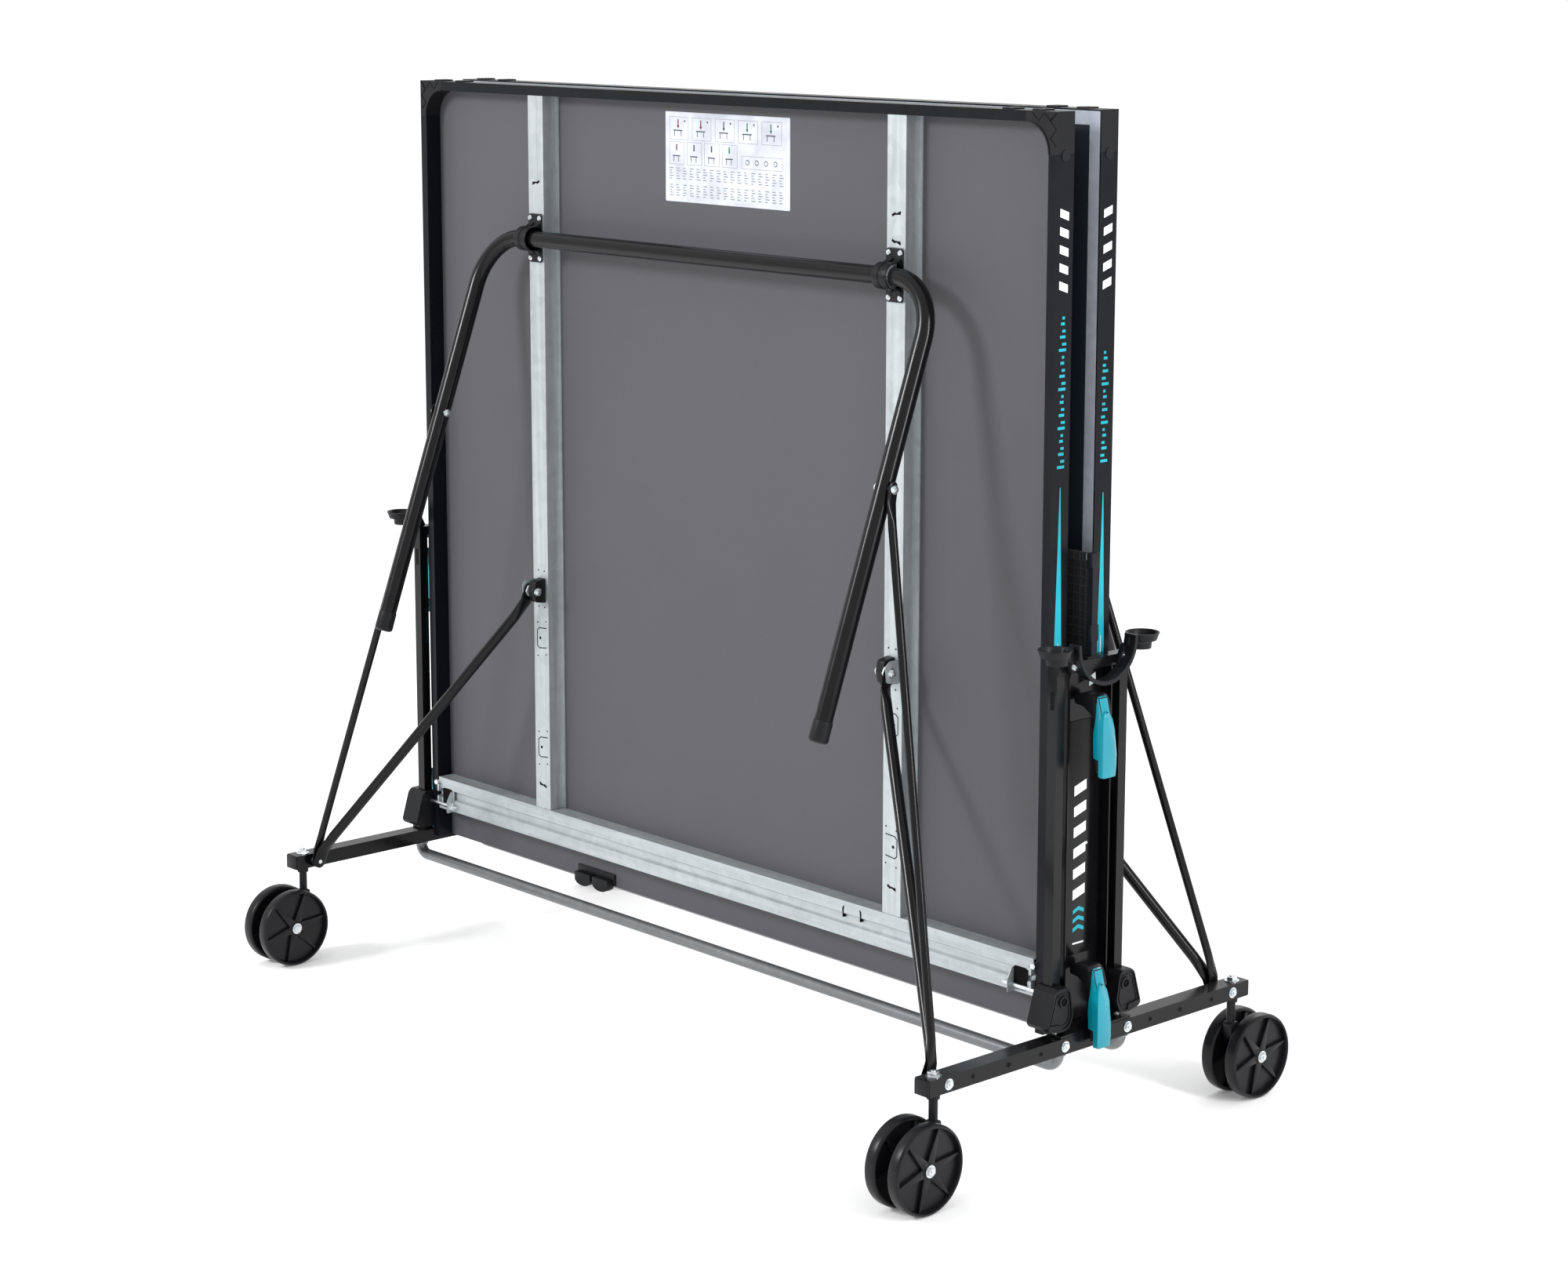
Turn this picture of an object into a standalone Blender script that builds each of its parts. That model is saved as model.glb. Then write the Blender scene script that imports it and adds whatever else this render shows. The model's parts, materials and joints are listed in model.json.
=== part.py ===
"""Folding table tennis table, stored upright: two halves on a wheeled chassis.

Origin on the floor under the middle, X along the net, Y along the play, Z up.
Sizes are in millimetres and become metres when a mesh is made.
"""
import math

import bmesh
import bpy
from mathutils import Vector

# ---- driving dimensions -------------------------------------------------
TABLE_W = 1525.0          # width along the net
HALF_L = 1370.0           # one half, net edge to end
PLAY_H = 760.0            # height of the playing surface when open
NET_H = 152.5             # net above the playing surface
SURF_Y = 28.0             # stored playing surface, from the middle plane
BOARD_T = 7.0             # thickness of the board
APRON_D = 37.0            # depth of the apron frame
APRON_W = 16.0            # width of the apron profile
WALL = 2.0                # sheet thickness of the profiles
NET_EDGE_Z = 185.0        # stored net edge above the floor
PIVOT_Y = 68.5            # half's pivot from the middle plane
PIVOT_A = 66.0            # half's pivot above the net edge
RIB_X = 437.0             # centre of each long rib
RIB_W = 40.0              # width of a rib's face
RAIL_LOW = 56.0           # cross rail, first edge above the net edge
RAIL_HIGH = 114.0         # cross rail, second edge
LEG_R = 14.0              # radius of the folding leg's tube
LEG_BEND = 90.0           # bend radius of the folding leg
LEG_HINGE = 1048.0        # leg hinge from the half's pivot
LEG_TILT = 20.0           # stored lean of the leg, degrees
STRUT_R = 9.0             # support strut
LINK_R = 6.5              # leg link
SIDE = 34.5               # centre of each base beam, out from the table's side
BEAM_W = 30.0
BEAM_H = 25.0
BEAM_Z = 168.0            # underside of the base beams
BEAM_HALF = 352.0         # half length of a base beam
FOOT_Y = 314.0            # strut bolt on the beam
FOOT_Z = 181.0
WHEEL_R = 68.0
WHEEL_W = 22.0
WHEEL_OFF = 23.5          # wheel centre from the caster's middle
STEM_Y = 330.0            # caster stem
TRAIL = 38.0              # caster trail
POST_TOP = 757.0          # top of the uprights
POST_Y = 47.0             # half width of the centre post
POST_DEEP = 22.0          # how far its flanges stand out
CUP_Y = 95.0              # middle of each ball ring
BAR_IN = 10.5             # guide bar's inner face, out from the table's side
BAR_OUT = 28.5            # guide bar's outer face
BAR_Y0 = 60.0
BAR_Y1 = 77.0
TUBE_R = 10.0             # tubes between the two base beams
TUBE_Y = 69.0
GAP = 0.3                 # gap between touching pieces
CORNER = 62.0             # leg of a moulded corner
GRIP_LOW = 284.0          # hinge of the lower release grip
GRIP_HIGH = 698.0         # hinge of the upper release grip
CRADLE_Z = 785.0          # middle of the racket cradle

# ---- what follows from them ---------------------------------------------
HALF_W = TABLE_W / 2
BEAM_X = HALF_W + SIDE
BAR_X0 = HALF_W + BAR_IN
BAR_X1 = HALF_W + BAR_OUT
END_Z = NET_EDGE_Z + HALF_L
FRAME_Y = SURF_Y + APRON_D
PIVOT_Z = NET_EDGE_Z + PIVOT_A
PIN_OUT = 14.0            # strut pin and leg axis stand this far past the pivot line
OPEN_PIN_Z = PLAY_H - (PIVOT_Y - SURF_Y) - PIN_OUT
PIN_Y = PIVOT_Y + PIN_OUT
LEG_Z = PIVOT_Z + LEG_HINGE
LEG_LEN = OPEN_PIN_Z - 0.5


def strut_reach():
    """Distance from pivot to strut pin that suits the stored and the open pose."""
    rise = PIVOT_Z - FOOT_Z
    left = (FOOT_Y - PIN_Y) ** 2 + rise ** 2
    right = (FOOT_Y - PIVOT_Y) ** 2 + (OPEN_PIN_Z - FOOT_Z) ** 2
    return (right - left) / (2 * rise + 2 * (FOOT_Y - PIVOT_Y))


def link_reach():
    """Distance from the leg's hinge to the link bolt, on the same grounds."""
    lean = math.radians(LEG_TILT)
    y0 = FOOT_Y - PIN_Y
    z0 = LEG_Z - FOOT_Z
    y1 = PIVOT_Y + LEG_HINGE - FOOT_Y
    z1 = OPEN_PIN_Z - FOOT_Z
    top = y0 ** 2 + z0 ** 2 - y1 ** 2 - z1 ** 2
    return top / (2 * (y0 * math.sin(lean) + z0 * math.cos(lean) - z1))


# ---- helpers --------------------------------------------------------------
for old in list(bpy.data.objects):
    bpy.data.objects.remove(old, do_unlink=True)

PALETTE = {
    "black_steel": ((0.012, 0.012, 0.013), 0.32, 0.0),
    "satin_steel": ((0.018, 0.019, 0.021), 0.42, 0.0),
    "zinc": ((0.56, 0.60, 0.62), 0.38, 1.0),
    "grey_tube": ((0.40, 0.42, 0.43), 0.40, 1.0),
    "board": ((0.115, 0.115, 0.122), 0.55, 0.0),
    "black_plastic": ((0.016, 0.016, 0.017), 0.50, 0.0),
    "teal_plastic": ((0.010, 0.360, 0.440), 0.40, 0.0),
    "net_mesh": ((0.020, 0.020, 0.022), 0.85, 0.0),
    "tyre": ((0.020, 0.020, 0.021), 0.60, 0.0),
}


def material(key, name):
    colour, rough, metal = PALETTE[key]
    mat = bpy.data.materials.new(name + "_mat")
    mat.use_nodes = True
    shader = mat.node_tree.nodes["Principled BSDF"]
    shader.inputs["Base Color"].default_value = (*colour, 1.0)
    shader.inputs["Roughness"].default_value = rough
    shader.inputs["Metallic"].default_value = metal
    return mat


def raw(bm, name):
    """Turn a bmesh in millimetres into a closed object in metres."""
    bmesh.ops.recalc_face_normals(bm, faces=bm.faces)
    bmesh.ops.scale(bm, vec=(0.001, 0.001, 0.001), verts=bm.verts)
    mesh = bpy.data.meshes.new(name)
    bm.to_mesh(mesh)
    bm.free()
    obj = bpy.data.objects.new(name, mesh)
    bpy.context.scene.collection.objects.link(obj)
    return obj


def box(x, y, z, name="tmp"):
    bm = bmesh.new()
    bmesh.ops.create_cube(bm, size=1.0)
    low = [min(a) for a in (x, y, z)]
    high = [max(a) for a in (x, y, z)]
    for vert in bm.verts:
        for k in range(3):
            vert.co[k] = low[k] if vert.co[k] < 0 else high[k]
    return raw(bm, name)


def prism(points, axis, low, high, name="tmp"):
    """Extrude a 2-D outline along one axis."""
    bm = bmesh.new()
    place = {"x": lambda a, b, t: (t, a, b),
             "y": lambda a, b, t: (a, t, b),
             "z": lambda a, b, t: (a, b, t)}[axis]
    near = [bm.verts.new(place(a, b, low)) for a, b in points]
    far = [bm.verts.new(place(a, b, high)) for a, b in points]
    count = len(points)
    bm.faces.new(near)
    bm.faces.new(far)
    for i in range(count):
        j = (i + 1) % count
        bm.faces.new((near[i], near[j], far[j], far[i]))
    return raw(bm, name)


def loft(path, sizes, name="tmp", sides=12, bore=0.0, first=(1, 0, 0)):
    """Sweep an oval along a path; sizes are (across first, across the other)."""
    bm = bmesh.new()
    pts = [Vector(p) for p in path]
    rings = []
    inner = []
    side = Vector(first)
    for i, point in enumerate(pts):
        ahead = (pts[min(i + 1, len(pts) - 1)] - pts[max(i - 1, 0)]).normalized()
        across = (side - ahead * side.dot(ahead)).normalized()
        up = ahead.cross(across).normalized()
        side = across
        ra, rb = sizes[i] if isinstance(sizes, list) else (sizes, sizes)
        for store, trim in ((rings, 0.0), (inner, bore)):
            ring = []
            for k in range(sides):
                ang = 2 * math.pi * (k + 0.5) / sides
                off = across * (ra - trim) * math.cos(ang) + up * (rb - trim) * math.sin(ang)
                ring.append(bm.verts.new(point + off))
            store.append(ring)
    stores = [rings, inner] if bore else [rings]
    if not bore:
        for ring in inner:
            for vert in ring:
                bm.verts.remove(vert)
    for store in stores:
        for a, b in zip(store[:-1], store[1:]):
            for k in range(sides):
                j = (k + 1) % sides
                bm.faces.new((a[k], a[j], b[j], b[k]))
    for end in (0, -1):
        if bore:
            for k in range(sides):
                j = (k + 1) % sides
                bm.faces.new((rings[end][k], rings[end][j], inner[end][j], inner[end][k]))
        else:
            bm.faces.new(rings[end])
    return raw(bm, name)


def turned(profile, centre, name="tmp", sides=24):
    """Closed ring profile (radius, offset along X) turned about an X axis."""
    bm = bmesh.new()
    rings = []
    for k in range(sides):
        ang = 2 * math.pi * (k + 0.5) / sides
        rings.append([bm.verts.new((centre[0] + off, centre[1] + rad * math.cos(ang),
                                    centre[2] + rad * math.sin(ang))) for rad, off in profile])
    count = len(profile)
    for k in range(sides):
        a, b = rings[k], rings[(k + 1) % sides]
        for i in range(count):
            j = (i + 1) % count
            bm.faces.new((a[i], a[j], b[j], b[i]))
    return raw(bm, name)


def rod(start, end, radius, name="tmp", sides=16):
    ahead = Vector(end) - Vector(start)
    first = (0, 0, 1) if abs(ahead.normalized().z) < 0.9 else (1, 0, 0)
    return loft([start, end], radius, name, sides, 0.0, first)


def fuse(parts, cuts=()):
    """Join overlapping solids into one closed body, then take the cutters away."""
    base = parts[0]
    for tool, kind in [(p, "UNION") for p in parts[1:]] + [(c, "DIFFERENCE") for c in cuts]:
        mod = base.modifiers.new("join", "BOOLEAN")
        mod.operation = kind
        mod.solver = "EXACT"
        mod.object = tool
    graph = bpy.context.evaluated_depsgraph_get()
    graph.update()
    mesh = bpy.data.meshes.new_from_object(base.evaluated_get(graph))
    base.modifiers.clear()
    base.data = mesh
    for tool in list(parts[1:]) + list(cuts):
        bpy.data.objects.remove(tool, do_unlink=True)
    bm = bmesh.new()
    bm.from_mesh(mesh)
    bmesh.ops.remove_doubles(bm, verts=bm.verts, dist=0.000002)
    bmesh.ops.dissolve_limit(bm, angle_limit=math.radians(0.3), verts=bm.verts, edges=bm.edges)
    bmesh.ops.triangulate(bm, faces=bm.faces)
    bm.to_mesh(mesh)
    bm.free()
    return base


def piece(obj, name, key, origin=None):
    """Name a finished piece, colour it and put its origin on its joint axis."""
    obj.name = name
    obj.data.name = name
    obj.data.materials.clear()
    obj.data.materials.append(material(key, name))
    if origin is not None:
        shift = Vector(origin) * 0.001
        for vert in obj.data.vertices:
            vert.co -= shift
        obj.location = shift
    return obj


def arc(centre, radius, start, stop, steps):
    """Points (a, b) on an arc, angles in degrees."""
    out = []
    for k in range(steps + 1):
        ang = math.radians(start + (stop - start) * k / steps)
        out.append((centre[0] + radius * math.cos(ang), centre[1] + radius * math.sin(ang)))
    return out


# ---- one half of the table -----------------------------------------------
def apron_outline(edge, sign):
    """Channel section (across, depth); edge is the outer face, sign points outwards."""
    inner = edge - sign * APRON_W
    wall = sign * WALL
    board = SURF_Y + BOARD_T + GAP
    return [(edge, SURF_Y), (edge, FRAME_Y), (inner, FRAME_Y), (inner, board),
            (inner + wall, board), (inner + wall, FRAME_Y - WALL),
            (edge - wall, FRAME_Y - WALL), (edge - wall, SURF_Y)]


def make_board(tag, sy, pivot):
    side = HALF_W - WALL - GAP
    obj = box((-side, side), (sy * SURF_Y, sy * (SURF_Y + BOARD_T)),
              (NET_EDGE_Z, END_Z - WALL - GAP))
    piece(obj, tag + "_board", "board", pivot)


def make_aprons(tag, sy, pivot):
    for hand, sx in (("left", -1), ("right", 1)):
        outline = [(a, sy * d) for a, d in apron_outline(sx * HALF_W, sx)]
        obj = prism(outline, "z", NET_EDGE_Z, END_Z - CORNER - GAP)
        piece(obj, f"{tag}_apron_{hand}", "satin_steel", pivot)
    outline = [(sy * d, a) for a, d in apron_outline(END_Z, 1)]
    reach = HALF_W - CORNER - GAP
    obj = prism(outline, "x", -reach, reach)
    piece(obj, tag + "_apron_end", "satin_steel", pivot)


def make_corner(tag, sy, sx, hand, pivot):
    """Moulded corner: web with a round inner edge and two outer walls."""
    board = SURF_Y + BOARD_T + GAP
    ex, ez = sx * HALF_W, END_Z
    web = [(ex, ez), (ex - sx * CORNER, ez)]
    for a, b in arc((0.0, 0.0), CORNER - APRON_W, 90, 0, 6):
        web.append((ex - sx * (CORNER - a), ez - (CORNER - b)))
    web.append((ex, ez - CORNER))
    body = prism(web, "y", sy * board, sy * FRAME_Y)
    side = box((ex, ex - sx * WALL), (sy * SURF_Y, sy * FRAME_Y), (ez, ez - CORNER))
    top = box((ex, ex - sx * CORNER), (sy * SURF_Y, sy * FRAME_Y), (ez, ez - WALL))
    obj = fuse([body, side, top])
    piece(obj, f"{tag}_corner_{hand}", "black_plastic", pivot)


def make_rib(tag, sy, sx, hand, pivot):
    """Hat-section rib with the strut ear and the clamp that holds the folding leg."""
    board = SURF_Y + BOARD_T + GAP
    low = NET_EDGE_Z + RAIL_HIGH + GAP
    high = END_Z - APRON_W - GAP
    x0, x1 = RIB_X - RIB_W / 2, RIB_X + RIB_W / 2
    brim = 7.0
    hat = [(x0 - brim, board), (x0 + WALL, board), (x0 + WALL, FRAME_Y - WALL),
           (x1 - WALL, FRAME_Y - WALL), (x1 - WALL, board), (x1 + brim, board),
           (x1 + brim, board + WALL), (x1, board + WALL), (x1, FRAME_Y), (x0, FRAME_Y),
           (x0, board + WALL), (x0 - brim, board + WALL)]
    body = prism([(sx * a, sy * b) for a, b in hat], "z", low, high)
    pin_z = PIVOT_Z + strut_reach()
    tab = [(FRAME_Y - 1, pin_z - 17), (PIN_Y + 6, pin_z - 9), (PIN_Y + 11, pin_z),
           (PIN_Y + 6, pin_z + 9), (FRAME_Y - 1, pin_z + 17)]
    ear = prism([(sy * a, b) for a, b in tab], "x", sx * (RIB_X + 4), sx * (RIB_X + 7))
    plate = box((sx * (x0 + 1), sx * (x1 - 1)), (sy * (FRAME_Y - 0.5), sy * (FRAME_Y + 2)),
                (LEG_Z - 40, LEG_Z + 40))
    saddle = box((sx * (RIB_X - 14), sx * (RIB_X + 14)), (sy * FRAME_Y, sy * (PIN_Y - 4)),
                 (LEG_Z - 17, LEG_Z + 17))
    ring = loft([(sx * (RIB_X - 15), sy * PIN_Y, LEG_Z), (sx * (RIB_X + 15), sy * PIN_Y, LEG_Z)],
                LEG_R + 5.0, "tmp", 20, 0.0, (0, 0, 1))
    bore = loft([(sx * (RIB_X - 40), sy * PIN_Y, LEG_Z), (sx * (RIB_X + 40), sy * PIN_Y, LEG_Z)],
                LEG_R + 0.6, "tmp", 20, 0.0, (0, 0, 1))
    obj = fuse([body, ear, plate, saddle, ring], [bore])
    piece(obj, f"{tag}_rib_{hand}", "zinc", pivot)


def make_cross_rail(tag, sy, pivot):
    """Rolled rail near the net edge, with a groove along its face."""
    board = SURF_Y + BOARD_T + GAP
    low, high = NET_EDGE_Z + RAIL_LOW, NET_EDGE_Z + RAIL_HIGH
    face = FRAME_Y + 1.0
    sect = [(board, low), (face, low), (face, low + 20), (face - 5, low + 23),
            (face - 5, high - 23), (face, high - 20), (face, high), (board, high),
            (board, high - WALL), (face - WALL, high - WALL), (face - WALL, high - 19),
            (face - 7, high - 22), (face - 7, low + 22), (face - WALL, low + 19),
            (face - WALL, low + WALL), (board, low + WALL)]
    reach = HALF_W - APRON_W - 4
    obj = prism([(sy * a, b) for a, b in sect], "x", -reach, reach)
    piece(obj, tag + "_cross_rail", "zinc", pivot)


def make_leg(tag, sy):
    """U-shaped folding leg, hinged in the two rib clamps."""
    lean = math.radians(LEG_TILT)
    inner = RIB_X + 18.0
    half = []
    for k in range(7):
        ang = math.radians(90 * k / 6)
        half.append((inner + LEG_BEND * math.sin(ang), LEG_BEND * (1 - math.cos(ang))))
    half += [(inner + LEG_BEND, LEG_LEN - 26), (inner + LEG_BEND, LEG_LEN - 25.5),
             (inner + LEG_BEND, LEG_LEN)]
    path = []
    for sx, pts in ((-1, half[::-1]), (1, half)):
        for across, down in pts:
            path.append((sx * across, sy * (PIN_Y + down * math.sin(lean)),
                         LEG_Z - down * math.cos(lean)))
    sizes = [(LEG_R, LEG_R)] * len(path)
    for k in (0, 1, -1, -2):
        sizes[k] = (LEG_R + 1.5, LEG_R + 1.5)
    obj = loft(path, sizes, "tmp", 12, 2.5, (0, 1, 0))
    piece(obj, tag + "_folding_leg", "black_steel", (0, sy * PIN_Y, LEG_Z))


def strut_path(foot, top, lead):
    """Flat foot, round middle, flat top; both flats stay square to X."""
    down = Vector((0, top[1] - foot[1], top[2] - foot[2])).normalized()
    a, b = Vector(foot), Vector(top)
    knee0 = a + down * lead
    knee1 = b - down * lead
    ahead = (knee1 - knee0).normalized()
    return [a - down * 11, a + down * 11, knee0, knee0 + ahead * 22, knee1 - ahead * 22,
            knee1, b - down * 11, b + down * 11]


def make_strut(name, foot, top, radius, key, origin):
    flat = (2.3, radius + 3.0)
    mid = (2.6, radius + 2.5)
    sizes = [flat, flat, mid, (radius, radius), (radius, radius), mid, flat, flat]
    path = strut_path(foot, top, 26.0)
    obj = loft(path, sizes, "tmp", 12, 0.0, (1, 0, 0))
    piece(obj, name, key, origin)


def make_struts(tag, sy):
    """Two support struts to the ribs and two thin links to the folding leg."""
    lean = math.radians(LEG_TILT)
    pin_z = PIVOT_Z + strut_reach()
    bolt = link_reach()
    leg_x = RIB_X + 18.0 + LEG_BEND
    bolt_y = PIN_Y + bolt * math.sin(lean)
    bolt_z = LEG_Z - bolt * math.cos(lean)
    for hand, sx in (("left", -1), ("right", 1)):
        make_strut(f"{tag}_support_strut_{hand}", (sx * (HALF_W + 4.5), sy * FOOT_Y, FOOT_Z),
                   (sx * (RIB_X + 10.0), sy * PIN_Y, pin_z), STRUT_R, "black_steel",
                   (0, sy * PIN_Y, pin_z))
        make_strut(f"{tag}_leg_link_{hand}", (sx * (HALF_W + 13.0), sy * FOOT_Y, FOOT_Z),
                   (sx * (leg_x + LEG_R + 4.0), sy * bolt_y, bolt_z), LINK_R, "black_steel",
                   (0, sy * bolt_y, bolt_z))


def make_shoe(tag, sy, sx, hand):
    """Moulded shoe that slides on the guide bar and carries the half's pivot."""
    y, z = PIVOT_Y, PIVOT_Z
    out = [(y - 8, z + 18), (y + 12, z + 18), (y + 19, z + 12), (y + 34, z - 38),
           (y + 30, z - 44), (y + 6, z - 49), (y - 12, z - 47), (y - 21, z - 28), (y - 14, z + 12)]
    side = HALF_W + 2.0
    body = prism([(sy * a, b) for a, b in out], "x", sx * side, sx * (side + 41.5))
    slot = box((sx * (BAR_X0 - 0.6), sx * (BAR_X1 + 0.6)), (sy * (BAR_Y0 - 0.6), sy * (BAR_Y1 + 0.6)),
               (z - 80, z + 60))
    boss = rod((sx * (side - 1.6), sy * y, z), (sx * (side + 1.5), sy * y, z), 7.0)
    obj = fuse([body, boss], [slot])
    piece(obj, f"{tag}_shoe_{hand}", "black_plastic", (0, sy * PIVOT_Y, PIVOT_Z))


def make_half(tag, sy):
    pivot = (0, sy * PIVOT_Y, PIVOT_Z)
    make_board(tag, sy, pivot)
    make_aprons(tag, sy, pivot)
    make_cross_rail(tag, sy, pivot)
    make_leg(tag, sy)
    make_struts(tag, sy)
    for hand, sx in (("left", -1), ("right", 1)):
        make_corner(tag, sy, sx, hand, pivot)
        make_rib(tag, sy, sx, hand, pivot)
        make_shoe(tag, sy, sx, hand)


# ---- chassis ----------------------------------------------------------------
def make_beam(sx, hand):
    obj = box((sx * (BEAM_X - BEAM_W / 2), sx * (BEAM_X + BEAM_W / 2)), (-BEAM_HALF, BEAM_HALF),
              (BEAM_Z, BEAM_Z + BEAM_H))
    piece(obj, "base_beam_" + hand, "black_steel")


def make_upright(sx, hand):
    """Welded upright: two guide bars, a centre post, a foot plate and a top strap."""
    foot = BEAM_Z + BEAM_H + GAP
    x0, x1 = BAR_X0 - 1, BEAM_X + 14
    parts = [box((sx * x0, sx * x1), (-BAR_Y1, BAR_Y1), (foot, foot + 3.5))]
    for sy in (-1, 1):
        parts.append(box((sx * BAR_X0, sx * BAR_X1), (sy * BAR_Y0, sy * BAR_Y1),
                         (foot + 1, POST_TOP - 1)))
    strap = BAR_X0 + 2
    parts.append(box((sx * strap, sx * (strap + 20)), (-BAR_Y1, BAR_Y1),
                     (POST_TOP - 16, POST_TOP)))
    back = HALF_W + 3.5
    lip = POST_Y - 2.5
    post = [(0, -POST_Y), (POST_DEEP, -POST_Y), (POST_DEEP, -lip), (3, -lip), (3, lip),
            (POST_DEEP, lip), (POST_DEEP, POST_Y), (0, POST_Y)]
    parts.append(prism([(sx * (back + a), b) for a, b in post], "z", foot + 1.5,
                       POST_TOP - 1.5))
    obj = fuse(parts)
    piece(obj, "upright_" + hand, "black_steel")


def make_tube(sy, tag):
    """Tube along X between the beams, its ends bent up to their undersides."""
    bend = 20.0
    top = BEAM_Z - GAP
    low = top - bend - 2.0
    path = [(-BEAM_X, top), (-BEAM_X, low + bend)]
    for k in range(1, 6):
        ang = math.radians(90 * k / 5)
        path.append((-BEAM_X + bend * (1 - math.cos(ang)), low + bend * (1 - math.sin(ang))))
    path += [(-a, b) for a, b in path[::-1]]
    obj = loft([(a, sy * TUBE_Y, b) for a, b in path], TUBE_R, "tmp", 12, 1.5, (0, 1, 0))
    piece(obj, "tie_tube_" + tag, "grey_tube")


def make_holder(sx, hand):
    """Moulded holder: a racket cradle between two ball rings."""
    cz = CRADLE_Z
    face = BEAM_X + 3
    outer, inner = 64.0, 58.0
    band = arc((0, cz), outer, 180, 360, 14) + arc((0, cz), inner, 360, 180, 14)
    parts = [prism(band, "x", sx * face, sx * (face + 22))]
    for sy in (-1, 1):
        cx, cy = face + 3, CUP_Y
        ring = turned([(23.0, 0.0), (26.0, 11.0), (22.0, 11.0), (19.5, 0.0)], (0, 0, 0), "tmp", 20)
        for vert in ring.data.vertices:
            x, y, z = vert.co
            vert.co = (sx * (cx * 0.001 + y), sy * (cy * 0.001 + z), (cz - 12.0) * 0.001 + x)
        bm = bmesh.new()
        bm.from_mesh(ring.data)
        bmesh.ops.recalc_face_normals(bm, faces=bm.faces)
        bm.to_mesh(ring.data)
        bm.free()
        parts.append(ring)
        parts.append(box((sx * (face + 0.5), sx * (face + 6)), (sy * 58.5, sy * (CUP_Y - 21)),
                         (cz - 11.5, cz - 1.5)))
        parts.append(box((sx * (face - 4.7), sx * (face + 1)), (sy * 44, sy * 57),
                         (POST_TOP - 13, POST_TOP - 1)))
    obj = fuse(parts)
    piece(obj, "ball_holder_" + hand, "black_plastic")


def make_net():
    low, top = PLAY_H + 2.0, PLAY_H + NET_H
    for hand, sx in (("left", -1), ("right", 1)):
        foot = box((sx * (HALF_W + 13.5), sx * (HALF_W + 31.5)), (-14, 14),
                   (POST_TOP + GAP, POST_TOP + 3.3))
        post = box((sx * (HALF_W + 21.5), sx * (HALF_W + 30.5)), (-6, 6),
                   (POST_TOP + 2, top + 1))
        obj = fuse([foot, post])
        piece(obj, "net_post_" + hand, "black_steel")
    reach = HALF_W + 21.1
    obj = box((-reach, reach), (-0.6, 0.6), (low, top))
    piece(obj, "net", "net_mesh")


def make_lever(sx, hand, level, hinge_z):
    """Hooked release grip, hinged inside the centre post."""
    z = hinge_z
    pin = HALF_W + 21.5
    out = [(-7, -7), (-7, 7), (8, 8), (30, 10), (46, -6), (54, -38), (52, -96), (47, -112),
           (31, -112), (30, -60), (24, -26), (8, -8)]
    obj = prism([(sx * (pin + a), z + b) for a, b in out], "y", -25, 8)
    piece(obj, f"release_grip_{level}_{hand}", "teal_plastic", (sx * pin, 0, z))


def make_caster(sx, sy, hand, tag):
    """Swivel fork on a stem, its axle carrying one wheel on each side."""
    x = sx * BEAM_X
    ay = STEM_Y + TRAIL
    az = WHEEL_R
    stem = rod((x, sy * STEM_Y, 108), (x, sy * STEM_Y, BEAM_Z - GAP), 7.0, "tmp", 12)
    out = [(STEM_Y - 9, 128), (STEM_Y + 9, 128), (STEM_Y + 12, 108), (ay + 11, az + 6),
           (ay + 11, az - 7), (ay + 5, az - 11), (ay - 5, az - 11), (ay - 12, az - 4),
           (STEM_Y - 9, 104)]
    arm = prism([(sy * a, b) for a, b in out], "x", x - 9, x + 9)
    reach = WHEEL_OFF + WHEEL_W / 2 + 0.5
    axle = rod((x - reach, sy * ay, az), (x + reach, sy * ay, az), 4.0, "tmp", 12)
    heads = [rod((x + s * (reach - 0.2), sy * ay, az), (x + s * (reach + 4), sy * ay, az), 6.5,
                 "tmp", 12) for s in (-1, 1)]
    obj = fuse([arm, stem, axle] + heads)
    piece(obj, f"caster_fork_{tag}_{hand}", "black_plastic", (x, sy * STEM_Y, BEAM_Z))
    half = WHEEL_W / 2
    tread = WHEEL_R / math.cos(math.pi / 24)
    rim = WHEEL_R - 6.5
    shape = [(4.5, -half + 1), (12, -half + 1), (13, -2), (rim - 2, -2), (rim, -half),
             (rim + 4.5, -half), (tread, -half + 2), (tread, half - 2), (rim + 4.5, half),
             (rim, half), (rim - 2, 2), (13, 2), (12, half - 1), (4.5, half - 1)]
    for side, off in (("inner", -sx * WHEEL_OFF), ("outer", sx * WHEEL_OFF)):
        centre = (x + off, sy * ay, az)
        obj = turned(shape, centre)
        piece(obj, f"wheel_{side}_{tag}_{hand}", "tyre", centre)


def make_chassis():
    for hand, sx in (("left", -1), ("right", 1)):
        make_beam(sx, hand)
        make_upright(sx, hand)
        make_holder(sx, hand)
        make_lever(sx, hand, "low", GRIP_LOW)
        make_lever(sx, hand, "high", GRIP_HIGH)
        for tag, sy in (("front", -1), ("rear", 1)):
            make_caster(sx, sy, hand, tag)
    make_tube(-1, "front")
    make_tube(1, "rear")
    make_net()


make_half("front", -1)
make_half("rear", 1)
make_chassis()
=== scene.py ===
"""Looks for the folding table tennis table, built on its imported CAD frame. Metres, Z up."""
import json
import math

import bmesh
import bpy
from mathutils import Matrix, Vector


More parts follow.
